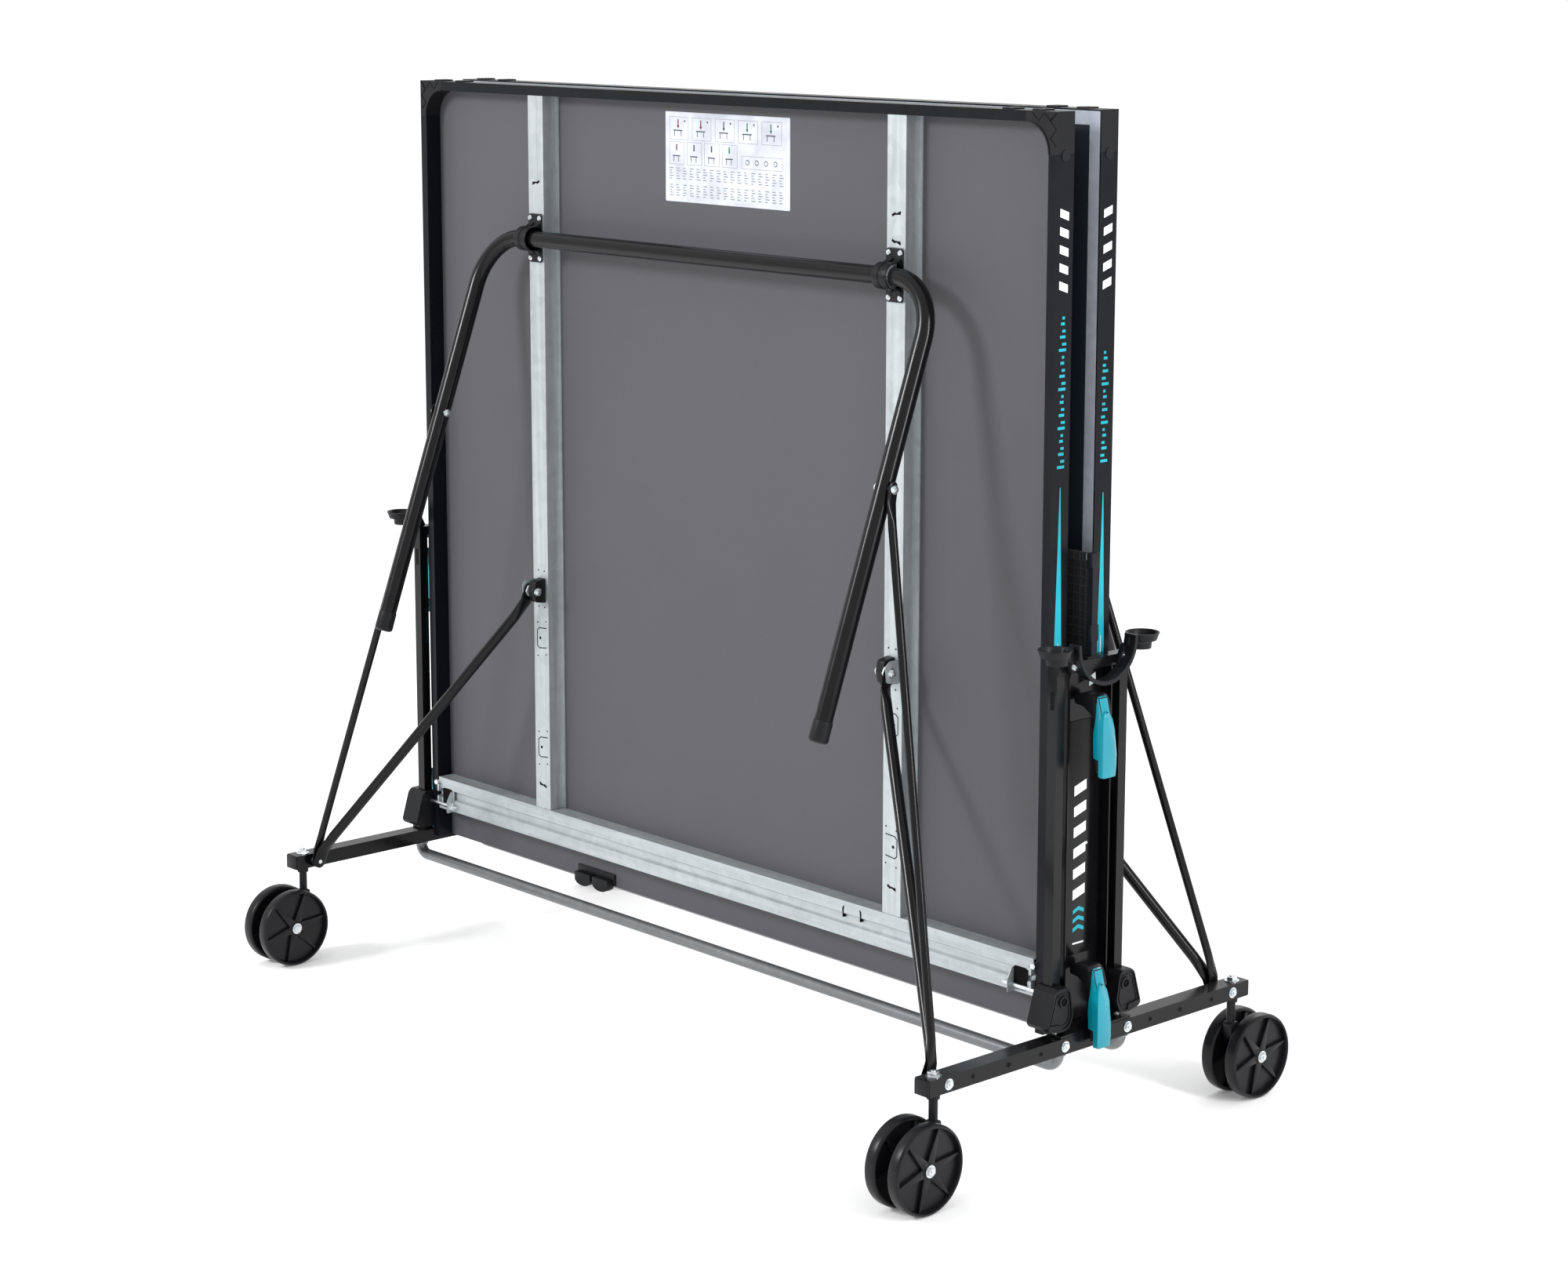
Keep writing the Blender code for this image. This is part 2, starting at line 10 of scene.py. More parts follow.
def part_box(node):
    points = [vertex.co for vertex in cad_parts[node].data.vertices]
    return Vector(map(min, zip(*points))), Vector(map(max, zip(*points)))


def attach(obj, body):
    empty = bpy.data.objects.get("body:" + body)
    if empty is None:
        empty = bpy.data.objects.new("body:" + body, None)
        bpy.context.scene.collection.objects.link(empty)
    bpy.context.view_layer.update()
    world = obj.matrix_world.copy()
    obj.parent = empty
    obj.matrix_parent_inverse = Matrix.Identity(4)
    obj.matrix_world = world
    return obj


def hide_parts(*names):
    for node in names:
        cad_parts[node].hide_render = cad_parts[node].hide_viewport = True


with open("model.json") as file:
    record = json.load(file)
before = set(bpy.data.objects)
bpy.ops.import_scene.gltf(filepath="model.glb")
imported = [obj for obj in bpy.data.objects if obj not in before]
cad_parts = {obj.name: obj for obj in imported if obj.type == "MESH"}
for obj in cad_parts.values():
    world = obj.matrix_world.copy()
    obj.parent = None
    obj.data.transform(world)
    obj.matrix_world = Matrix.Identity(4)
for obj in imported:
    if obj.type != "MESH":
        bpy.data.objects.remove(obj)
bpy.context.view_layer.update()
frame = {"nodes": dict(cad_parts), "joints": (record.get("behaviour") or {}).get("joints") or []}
NODES = frame["nodes"]
JOINTS = {j["name"]: j for j in frame["joints"]}

# ---- places read from the frame -------------------------------------------
PIVOT = Vector(JOINTS["rear_tilt"]["pos_m"])
LEG_PIN = Vector(JOINTS["rear_leg_swing"]["pos_m"])
STRUT_PIN = Vector(JOINTS["rear_strut_swing"]["pos_m"])
LINK_PIN = Vector(JOINTS["rear_link_swing"]["pos_m"])
STEM = Vector(JOINTS["swivel_rear_right"]["pos_m"])
AXLE = Vector(JOINTS["roll_outer_rear_right"]["pos_m"])
GRIPS = {lv: Vector(JOINTS["release_" + lv + "_right"]["pos_m"]) for lv in ("low", "high")}
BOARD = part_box("rear_board")
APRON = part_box("rear_apron_right")
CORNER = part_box("rear_corner_right")
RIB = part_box("rear_rib_right")
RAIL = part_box("rear_cross_rail")
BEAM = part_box("base_beam_right")
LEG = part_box("rear_folding_leg")
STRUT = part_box("rear_support_strut_right")
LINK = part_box("rear_leg_link_right")
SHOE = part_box("rear_shoe_right")
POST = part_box("upright_right")
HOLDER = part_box("ball_holder_right")
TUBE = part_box("tie_tube_rear")
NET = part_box("net")
EDGE_X = APRON[1].x
TOP_Z = CORNER[1].z
FACE = APRON[1].y
MM = 0.001
FOOT_Y = 0.314            # strut bolt on the beam
FOOT_Z = 0.181
SUNK = 0.0003             # how far printed marks start below the surface
PLATE = 0.0023            # half the thickness of a bar's pressed end
PRESSED = 0.0022          # the same, at the very tip
TAPER_FROM = 0.0024       # the same, where the tube starts to open
HEX_TURN = 0.3            # how every hex head is turned, radians
SHARP = math.radians(35)  # edges sharper than this stay sharp or are bevelled


# ---- materials ---------------------------------------------------------------
class Nodes:
    """A small helper that adds and links shader nodes."""

    def __init__(self, name):
        self.mat = bpy.data.materials.new(name)
        self.mat.use_nodes = True
        self.tree = self.mat.node_tree
        self.shader = self.tree.nodes["Principled BSDF"]
        self.coord = self.add("ShaderNodeTexCoord").outputs["Object"]

    def add(self, kind, **settings):
        node = self.tree.nodes.new(kind)
        for key, value in settings.items():
            setattr(node, key, value)
        return node

    def link(self, source, socket):
        self.tree.links.new(source, socket)

    def stretched(self, scale):
        node = self.add("ShaderNodeMapping")
        node.inputs["Scale"].default_value = scale
        self.link(self.coord, node.inputs["Vector"])
        return node.outputs["Vector"]

    def noise(self, scale, detail=3.0, stretch=(1, 1, 1)):
        node = self.add("ShaderNodeTexNoise")
        node.inputs["Scale"].default_value = scale
        node.inputs["Detail"].default_value = detail
        self.link(self.stretched(stretch), node.inputs["Vector"])
        return node.outputs["Fac"]

    def cells(self, scale):
        node = self.add("ShaderNodeTexVoronoi")
        node.inputs["Scale"].default_value = scale
        self.link(self.coord, node.inputs["Vector"])
        split = self.add("ShaderNodeSeparateColor")
        self.link(node.outputs["Color"], split.inputs["Color"])
        return split.outputs["Red"]

    def ramp(self, value, low, high, start=0.3, stop=0.7):
        node = self.add("ShaderNodeValToRGB")
        node.color_ramp.elements[0].position = start
        node.color_ramp.elements[1].position = stop
        node.color_ramp.elements[0].color = (*low, 1.0)
        node.color_ramp.elements[1].color = (*high, 1.0)
        self.link(value, node.inputs["Fac"])
        return node.outputs["Color"]

    def spread(self, value, low, high, start=0.3, stop=0.7):
        node = self.add("ShaderNodeMapRange")
        for key, number in (("From Min", start), ("From Max", stop), ("To Min", low), ("To Max", high)):
            node.inputs[key].default_value = number
        self.link(value, node.inputs["Value"])
        return node.outputs["Result"]

    def math(self, kind, a, b=None):
        node = self.add("ShaderNodeMath", operation=kind)
        for socket, value in ((node.inputs[0], a), (node.inputs[1], b)):
            if isinstance(value, (int, float)):
                socket.default_value = value
            elif value is not None:
                self.link(value, socket)
        return node.outputs[0]

    def mix(self, factor, a, b):
        node = self.add("ShaderNodeMix", data_type="RGBA")
        for socket, value in ((node.inputs[0], factor), (node.inputs[6], a), (node.inputs[7], b)):
            if isinstance(value, (int, float)):
                socket.default_value = value
            elif isinstance(value, tuple):
                socket.default_value = (*value, 1.0)
            else:
                self.link(value, socket)
        return node.outputs[2]

    def bump(self, value, strength, distance):
        node = self.add("ShaderNodeBump")
        node.inputs["Strength"].default_value = strength
        node.inputs["Distance"].default_value = distance
        self.link(value, node.inputs["Height"])
        self.link(node.outputs["Normal"], self.shader.inputs["Normal"])

    def done(self, colour, rough, metal=0.0, gloss=0.5):
        self.link(colour, self.shader.inputs["Base Color"])
        self.link(rough, self.shader.inputs["Roughness"])
        self.shader.inputs["Metallic"].default_value = metal
        self.shader.inputs["Specular IOR Level"].default_value = gloss
        return self.mat


def tint(colour, factor):
    return tuple(c * factor for c in colour)


def coated(name, colour, rough, grain, strength, gloss=0.3, blotch=7.0):
    """Paint or moulded plastic: slow tone change, fine grain, uneven gloss."""
    n = Nodes(name)
    slow = n.noise(blotch, 3.0)
    shade = n.ramp(slow, tint(colour, 0.82), tint(colour, 1.22))
    speck = n.noise(grain * 0.6, 2.0)
    shade = n.mix(n.spread(speck, 0.0, 0.20, 0.45, 0.72), shade, tint(colour, 1.6))
    n.bump(n.noise(grain, 2.0), strength, 0.0003)
    rough = n.spread(n.noise(blotch * 4, 4.0), rough * 0.85, rough * 1.2)
    return n.done(shade, rough, 0.0, gloss)


def plated(name, dark, light, rough, metal, crystal, streak):
    """Zinc plate: crystal patches crossed by rolling streaks."""
    n = Nodes(name)
    patch = n.cells(crystal)
    line = n.noise(streak[0], 4.0, streak[1])
    both = n.math("ADD", n.math("MULTIPLY", patch, 0.18), n.math("MULTIPLY", line, 0.82))
    shade = n.ramp(both, dark, light, 0.2, 0.75)
    dull = n.noise(3.0, 4.0)
    shade = n.mix(n.spread(dull, 0.0, 0.30, 0.45, 0.8), shade, tint(dark, 0.85))
    n.bump(n.noise(900.0, 2.0), 0.10, 0.0004)
    return n.done(shade, n.spread(both, rough * 0.8, rough * 1.25, 0.2, 0.8), metal)


def board_paint():
    """Grey lacquered back, blue-grey playing face with lines painted dim grey-blue: painted shade on their
    bright paint.
    """
    n = Nodes("board_lacquer")
    split = n.add("ShaderNodeSeparateXYZ")
    n.link(n.coord, split.inputs["Vector"])
    across = n.math("ABSOLUTE", split.outputs["X"])
    depth = n.math("ABSOLUTE", split.outputs["Y"])
    back = n.ramp(n.noise(2.2, 3.0), (0.068, 0.067, 0.074), (0.074, 0.073, 0.081))
    grain = n.spread(n.noise(700.0, 2.0), 0.0, 0.18, 0.42, 0.75)
    back = n.mix(grain, back, (0.100, 0.100, 0.108))
    face = n.ramp(n.noise(1.4, 2.0), (0.012, 0.016, 0.024), (0.013, 0.018, 0.026))
    face = n.mix(grain, face, (0.022, 0.028, 0.040))
    side_line = n.math("GREATER_THAN", across, EDGE_X - 0.0225)
    end_line = n.math("GREATER_THAN", split.outputs["Z"], TOP_Z - 0.0225)
    middle = n.math("LESS_THAN", across, 0.0015)
    lines = n.math("MAXIMUM", n.math("MAXIMUM", side_line, end_line), middle)
    # The side, end and centre lines are painted a dim grey-blue instead of their bright paint: painted shade
    # from the gap between the folded halves.
    shaded_line_tone = n.ramp(n.noise(60.0, 3.0), (0.33, 0.36, 0.42), (0.40, 0.43, 0.49))
    face = n.mix(lines, face, shaded_line_tone)
    on_face = n.math("LESS_THAN", depth, BOARD[0].y + 0.0006)
    shade = n.mix(on_face, back, face)
    n.bump(n.noise(1100.0, 2.0), 0.10, 0.0002)
    return n.done(shade, n.spread(n.noise(14.0, 2.0), 0.50, 0.54), 0.0, 0.30)


def net_cloth():
    """Knitted net: square cells between raised cords, with the holes painted darker than the cords: painted
    shade seen through them.
    """
    n = Nodes("net_knit")
    split = n.add("ShaderNodeSeparateXYZ")
    n.link(n.coord, split.inputs["Vector"])
    waves = []
    for axis in ("X", "Z"):
        wave = n.math("SINE", n.math("MULTIPLY", split.outputs[axis], math.pi / 0.0125))
        waves.append(n.math("ABSOLUTE", wave))
    hole = n.math("MINIMUM", waves[0], waves[1])
    cord = n.spread(hole, 1.0, 0.0, 0.18, 0.42)
    # Holes darker than the cords: painted shade.
    shade = n.mix(cord, (0.003, 0.003, 0.004), (0.016, 0.016, 0.018))
    fuzz = n.noise(1800.0, 2.0)
    shade = n.mix(n.spread(fuzz, 0.0, 0.25), shade, (0.012, 0.012, 0.014))
    n.bump(n.math("ADD", cord, n.math("MULTIPLY", fuzz, 0.3)), 0.6, 0.0008)
    return n.done(shade, n.spread(fuzz, 0.75, 0.95))


GLOSS = coated("black_powder_coat", (0.0028, 0.0028, 0.0034), 0.20, 1500.0, 0.04, 0.22)
SATIN = coated("satin_black_apron", (0.0034, 0.0040, 0.0056), 0.32, 1300.0, 0.05, 0.14)
PLASTIC = coated("black_moulding", (0.0062, 0.0064, 0.0076), 0.40, 1700.0, 0.16, 0.18)
TYRE = coated("wheel_moulding", (0.0052, 0.0052, 0.0064), 0.32, 1200.0, 0.10, 0.22)
TEAL = coated("teal_moulding", (0.001, 0.215, 0.285), 0.24, 1500.0, 0.05, 0.50)
TEAL_INK = coated("teal_print", (0.004, 0.300, 0.380), 0.34, 1400.0, 0.05, 0.3)
WHITE_INK = coated("white_print", (0.74, 0.75, 0.76), 0.40, 1400.0, 0.04, 0.3)
# Matt near-black for holes, slots, cut lines and seams: painted shade in place of the dark inside of each
# opening.
GAP_SHADE = coated("painted_gap_shade", (0.0022, 0.0022, 0.0025), 0.70, 900.0, 0.10, 0.1)
PAPER = coated("label_film", (0.54, 0.56, 0.62), 0.35, 1600.0, 0.05, 0.3, 20.0)
LIGHT_INK = coated("label_grey", (0.22, 0.24, 0.28), 0.45, 1600.0, 0.05)
DARK_INK = coated("label_dark", (0.04, 0.045, 0.06), 0.45, 1600.0, 0.05)
RED_INK = coated("label_red", (0.12, 0.015, 0.03), 0.45, 1600.0, 0.05)
GREEN_INK = coated("label_green", (0.02, 0.16, 0.10), 0.45, 1600.0, 0.05)
ZINC = plated("galvanised_sheet", (0.35, 0.385, 0.40), (0.50, 0.54, 0.56), 0.42, 0.55, 70.0,
              (16.0, (7.0, 7.0, 0.25)))
RAILZINC = plated("galvanised_rail", (0.33, 0.365, 0.38), (0.49, 0.53, 0.55), 0.42, 0.55, 70.0,
                  (16.0, (0.25, 7.0, 7.0)))
TUBEZINC = plated("galvanised_tube", (0.140, 0.146, 0.150), (0.200, 0.208, 0.212), 0.34, 0.70, 90.0,
                  (14.0, (0.25, 9.0, 9.0)))
BOLT = plated("bright_zinc", (0.52, 0.55, 0.57), (0.80, 0.83, 0.85), 0.24, 1.0, 400.0,
              (160.0, (1.0, 1.0, 1.0)))
LACQUER = board_paint()
NETTING = net_cloth()


# ---- mesh helpers ------------------------------------------------------------
def on_axis(axis, a, b, t):
    """A point t along the axis, with a and b across it."""
    return {"x": (t, a, b), "y": (a, t, b), "z": (a, b, t)}[axis]


class Build:
    """Collects islands of one piece. Canonical pieces stand at +X, +Y and are mirrored."""

    def __init__(self):
        self.bm = bmesh.new()
        self.mats = []

    def mark(self, faces, mat, smooth=False):
        if mat not in self.mats:
            self.mats.append(mat)
        index = self.mats.index(mat)
        for face in faces:
            face.material_index = index
            face.smooth = smooth

    def soften(self, verts, faces, width, mat, segments=2):
        """Bevel the sharp edges of one island."""
        bmesh.ops.recalc_face_normals(self.bm, faces=faces)
        self.mark(faces, mat)
        if not width:
            return
        edges = {e for v in verts for e in v.link_edges}
        sharp = [e for e in edges if len(e.link_faces) == 2 and e.calc_face_angle(0) > 0.45]
        bmesh.ops.bevel(self.bm, geom=sharp, offset=width, segments=segments, affect="EDGES",
                        clamp_overlap=True, profile=0.5)

    def box(self, low, high, mat, width=0.0006):
        low, high = ([min(a, b) for a, b in zip(low, high)], [max(a, b) for a, b in zip(low, high)])
        new = bmesh.ops.create_cube(self.bm, size=1.0)["verts"]
        for vert in new:
            for k in range(3):
                vert.co[k] = low[k] if vert.co[k] < 0 else high[k]
        self.soften(new, list({f for v in new for f in v.link_faces}), width, mat)

    def prism(self, points, axis, low, high, mat, width=0.0006, segments=2):
        near = [self.bm.verts.new(on_axis(axis, a, b, low)) for a, b in points]
        far = [self.bm.verts.new(on_axis(axis, a, b, high)) for a, b in points]
        faces = [self.bm.faces.new(near), self.bm.faces.new(far)]
        for i in range(len(points)):
            j = (i + 1) % len(points)
            faces.append(self.bm.faces.new((near[i], near[j], far[j], far[i])))
        self.soften(near + far, faces, width, mat, segments)

    def band(self, outer, inner, axis, low, high, mat):
        """A flat closed ring between two outlines with the same number of points."""
        loops = [[self.bm.verts.new(on_axis(axis, a, b, t)) for a, b in pts]
                 for pts, t in ((outer, low), (outer, high), (inner, high), (inner, low))]
        faces = []
        count = len(outer)
        for k in range(4):
            a, b = loops[k], loops[(k + 1) % 4]
            for i in range(count):
                j = (i + 1) % count
                faces.append(self.bm.faces.new((a[i], a[j], b[j], b[i])))
        bmesh.ops.recalc_face_normals(self.bm, faces=faces)
        self.mark(faces, mat)

    def rings(self, rings, mat, closed=False, caps=True, smooth=True):
        faces = []
        count = len(rings[0])
        pairs = list(zip(rings[:-1], rings[1:])) + ([(rings[-1], rings[0])] if closed else [])
        for a, b in pairs:
            for k in range(count):
                j = (k + 1) % count
                faces.append(self.bm.faces.new((a[k], a[j], b[j], b[k])))
        if caps and not closed:
            faces.append(self.bm.faces.new(rings[0]))
            faces.append(self.bm.faces.new(rings[-1]))
        bmesh.ops.recalc_face_normals(self.bm, faces=faces)
        self.mark(faces, mat, smooth)

    def sweep(self, path, sizes, mat, sides=24, first=(1, 0, 0)):
        """Oval section along a path; sizes give (across first, across the other)."""
        pts = [Vector(p) for p in path]
        side = Vector(first)
        out = []
        for i, point in enumerate(pts):
            ahead = (pts[min(i + 1, len(pts) - 1)] - pts[max(i - 1, 0)]).normalized()
            across = (side - ahead * side.dot(ahead)).normalized()
            up = ahead.cross(across).normalized()
            side = across
            ra, rb = sizes[i] if isinstance(sizes, list) else (sizes, sizes)
            ring = []
            for k in range(sides):
                ang = 2 * math.pi * (k + 0.5) / sides
                c, s = math.cos(ang), math.sin(ang)
                ring.append(self.bm.verts.new(point + across * ra * c + up * rb * s))
            out.append(ring)
        self.rings(out, mat)

    def turned(self, profile, centre, mat, axis="x", sides=40, smooth=True):
        """Closed profile (radius, offset) turned about an axis through centre."""
        out = []
        for k in range(sides):
            ang = 2 * math.pi * (k + 0.5) / sides
            c, s = math.cos(ang), math.sin(ang)
            ring = []
            for rad, off in profile:
                spot = on_axis(axis, rad * c, rad * s, off)
                ring.append(self.bm.verts.new(Vector(centre) + Vector(spot)))
            out.append(ring)
        self.rings(out, mat, closed=True, caps=False, smooth=smooth)

    def circle(self, centre, axis, radius, off, angles):
        """One ring of new vertices across the axis."""
        return [self.bm.verts.new(Vector(centre) + Vector(
            on_axis(axis, radius * math.cos(ang), radius * math.sin(ang), off))) for ang in angles]

    def disc(self, centre, axis, radius, low, high, mat, sides=32, edge=0.0):
        """Solid round button from low to high along the axis."""
        steps = [(radius, low), (radius, high - edge), (radius - edge, high)] if edge else [
            (radius, low), (radius, high)]
        angles = [2 * math.pi * (k + 0.5) / sides for k in range(sides)]
        out = [self.circle(centre, axis, rad, off, angles) for rad, off in steps]
        self.rings(out, mat, smooth=sides > 8)

    def bolt(self, centre, axis, out, across=0.0065, washer=0.0085, head=0.0045):
        """Hex head on a washer, standing out along +axis or -axis."""
        self.disc(centre, axis, washer, 0.0, out * 0.0012, BOLT, 28, 0.0)
        steps = [(across, out * 0.0012), (across, out * (head - 0.0008)), (across * 0.86, out * head)]
        angles = [2 * math.pi * k / 6 + HEX_TURN for k in range(6)]
        rings = [self.circle(centre, axis, rad, off, angles) for rad, off in steps]
        self.rings(rings, BOLT, smooth=False)
        self.disc(centre, axis, across * 0.42, out * head, out * (head + 0.0016), BOLT, 14, 0.0)

    def place(self, name, body, slot, sx=1, sy=1, hides=()):
        bmesh.ops.scale(self.bm, vec=(sx, sy, 1), verts=self.bm.verts)
        if sx * sy < 0:
            bmesh.ops.reverse_faces(self.bm, faces=self.bm.faces)
        mesh = bpy.data.meshes.new(name)
        self.bm.to_mesh(mesh)
        self.bm.free()
        for mat in self.mats:
            mesh.materials.append(mat)
        mesh.set_sharp_from_angle(angle=SHARP)
        obj = bpy.data.objects.new(name, mesh)
        bpy.context.scene.collection.objects.link(obj)
        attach(obj, body)
        if hides:
            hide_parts(*hides)
        return obj


def rounded(points, radius, steps=5):
    """Round every corner of an outline."""
    out = []
    count = len(points)
    for i in range(count):
        a, b, c = (Vector(points[(i + k) % count]) for k in (-1, 0, 1))
        u, w = (a - b), (c - b)
        cut = min(radius, u.length * 0.45, w.length * 0.45)
        p, q = b + u.normalized() * cut, b + w.normalized() * cut
        for k in range(steps + 1):
            t = k / steps
            out.append(tuple(p * (1 - t) ** 2 + b * 2 * t * (1 - t) + q * t * t))
    return out


def rect(a0, a1, b0, b1):
    """Outline of a rectangle."""
    return [(a0, b0), (a1, b0), (a1, b1), (a0, b1)]


def arc(a, b, ra, rb, start, stop, steps, first=0):
    """Points on an oval arc about (a, b), angles in degrees."""
    angles = [math.radians(start + (stop - start) * k / steps) for k in range(first, steps + 1)]
    return [(a + ra * math.cos(ang), b + rb * math.sin(ang)) for ang in angles]


def shrunk(points, factor):
    """The same outline drawn in towards its middle."""
    mid = [sum(p[k] for p in points) / len(points) for k in (0, 1)]
    return [(mid[0] + (a - mid[0]) * factor, mid[1] + (b - mid[1]) * factor) for a, b in points]


def keep(node, mat, width=0.0007):
    """A CAD node that stays: finished material and softened edges."""
    obj = NODES[node]
    obj.data.materials.clear()
    obj.data.materials.append(mat)
    if width:
        mod = obj.modifiers.new("soft_edges", "BEVEL")
        mod.width = width
        mod.segments = 2
        mod.limit_method = "ANGLE"
        mod.angle_limit = SHARP


HALVES = (("front", -1), ("rear", 1))
HANDS = (("left", -1), ("right", 1))


# ---- halves: board, aprons, corners ---------------------------------------------
def apron_print(tag, sy, hand, sx):
    """Teal wedge, plain bars and dashes on the outer face."""
    b = Build()
    mid = (APRON[0].y + APRON[1].y) / 2
    out = EDGE_X + 0.0002
    foot, tip = 0.540, (1.012 if tag == "front" else 0.995)
    b.prism([(mid - 0.0144, foot), (mid + 0.0144, foot), (mid + 0.0008, tip), (mid - 0.0008, tip)],
            "x", EDGE_X - SUNK, out, TEAL_INK, 0)
    b.prism([(mid - 0.0040, foot), (mid + 0.0040, foot), (mid + 0.0004, 0.78), (mid - 0.0004, 0.78)],
            "x", EDGE_X - SUNK, out + 0.0001, WHITE_INK, 0)
    for k in range(5):
        z = 1.295 + k * 0.026
        b.prism([(mid - 0.009, z), (mid + 0.009, z + 0.006), (mid + 0.009, z + 0.018),
                 (mid - 0.009, z + 0.012)], "x", EDGE_X - SUNK, out, WHITE_INK, 0)
    rows = 12 if tag == "front" else 9
    for k in range(rows):
        z = 1.040 + k * 0.019
        wide = 0.0075 - 0.0018 * (k % 3)
        b.box((EDGE_X - SUNK, mid - wide, z), (out, mid + wide, z + 0.0042), TEAL_INK, 0)
        b.box((EDGE_X - SUNK, mid - wide, z + 0.0085), (out, mid + 0.0010, z + 0.0125),
              TEAL_INK, 0)
    b.place(f"{tag}_apron_print_{hand}", f"{tag}_half", "teal_plastic", sx, sy)


def corner_trim(tag, sy, hand, sx):
    """Lattice ridges on the corner's back, seam plug and two small top tabs."""
    b = Build()
    for leg in (0, 1):
        zig = [(2.0 + 12.0 * k, 2.5 if k % 2 == 0 else 14.0) for k in range(5)]
        for (a0, c0), (a1, c1) in zip(zig[:-1], zig[1:]):
            ends = [Vector((a0, c0)), Vector((a1, c1))]
            side = (ends[1] - ends[0]).normalized().orthogonal() * 0.8
            quad = [ends[0] + side, ends[1] + side, ends[1] - side, ends[0] - side]
            if leg:
                quad = [Vector((p.y, p.x)) for p in quad]
            pts = [(EDGE_X - p.x * MM, TOP_Z - p.y * MM) for p in quad]
            b.prism(pts, "y", FACE - 0.001, FACE + 0.0010, PLASTIC, 0.0002, 1)
    size = (EDGE_X - CORNER[0].x) - 0.016
    web = arc(EDGE_X - 0.062, TOP_Z - 0.062, size, size, 0, 90, 12)
    for p, q in zip(web[:-1], web[1:]):
        b.prism([p, q, (q[0] + 0.0018, q[1] + 0.0018), (p[0] + 0.0018, p[1] + 0.0018)], "y",
                FACE - 0.001, FACE + 0.0012, PLASTIC, 0)
    mid = (APRON[0].y + APRON[1].y) / 2
    b.disc((EDGE_X, mid, CORNER[0].z - 0.001), "x", 0.0085, -0.0005, 0.0014, PLASTIC, 28, 0.0006)
    # Seam between corner and apron: a thin near-black strip, painted shade in the gap.
    b.box((EDGE_X - 0.0002, APRON[0].y + 0.0005, CORNER[0].z - 0.0004),
          (EDGE_X + 0.0003, FACE - 0.0005, CORNER[0].z + 0.0004), GAP_SHADE, 0)
    for x in (0.115, 0.055):
        b.box((EDGE_X - x, mid - 0.012, TOP_Z - 0.001), (EDGE_X - x + 0.022, mid + 0.012, TOP_Z + 0.0025),
              PLASTIC, 0.0006)
    b.place(f"{tag}_corner_trim_{hand}", f"{tag}_half", "black_plastic", sx, sy)


def corner_fillet(tag, sy, hand, sx):
    """Inner corner fillet of the frame seen on the board's back."""
    b = Build()
    lim_x = EDGE_X - 0.0165
    lim_z = TOP_Z - 0.0165
    rad = 0.034
    pts = [(lim_x + 0.0005, lim_z + 0.0005)] + arc(lim_x - rad, lim_z - rad, rad, rad, 0, 90, 12)
    b.prism(pts, "y", BOARD[1].y + 0.0002, FACE - 0.002, PLASTIC, 0)
    b.place(f"{tag}_corner_fillet_{hand}", f"{tag}_half", "black_plastic", sx, sy)


def board_edge(tag, sy):
    """Two half-round bumpers behind the net edge; they pass under the other half when open."""
    b = Build()
    low = BOARD[0].z
    spot = -0.325 if tag == "front" else 0.325
    back = BOARD[1].y
    for x in (spot - 0.024, spot + 0.024):
        pts = [(x + 0.021, low + 0.012), (x - 0.021, low + 0.012), (x - 0.021, low - 0.0004)]
        pts += arc(x, low - 0.0004, 0.021, 0.0105, 180, 360, 12, 1)
        b.prism(pts, "y", back + 0.0014, back + 0.0160, PLASTIC, 0.0008)
    b.box((spot - 0.050, back + 0.0002, low + 0.001), (spot + 0.050, back + 0.004, low + 0.022),
          PLASTIC, 0.001)
    b.place(f"{tag}_edge_bumpers", f"{tag}_half", "black_plastic", 1, sy)


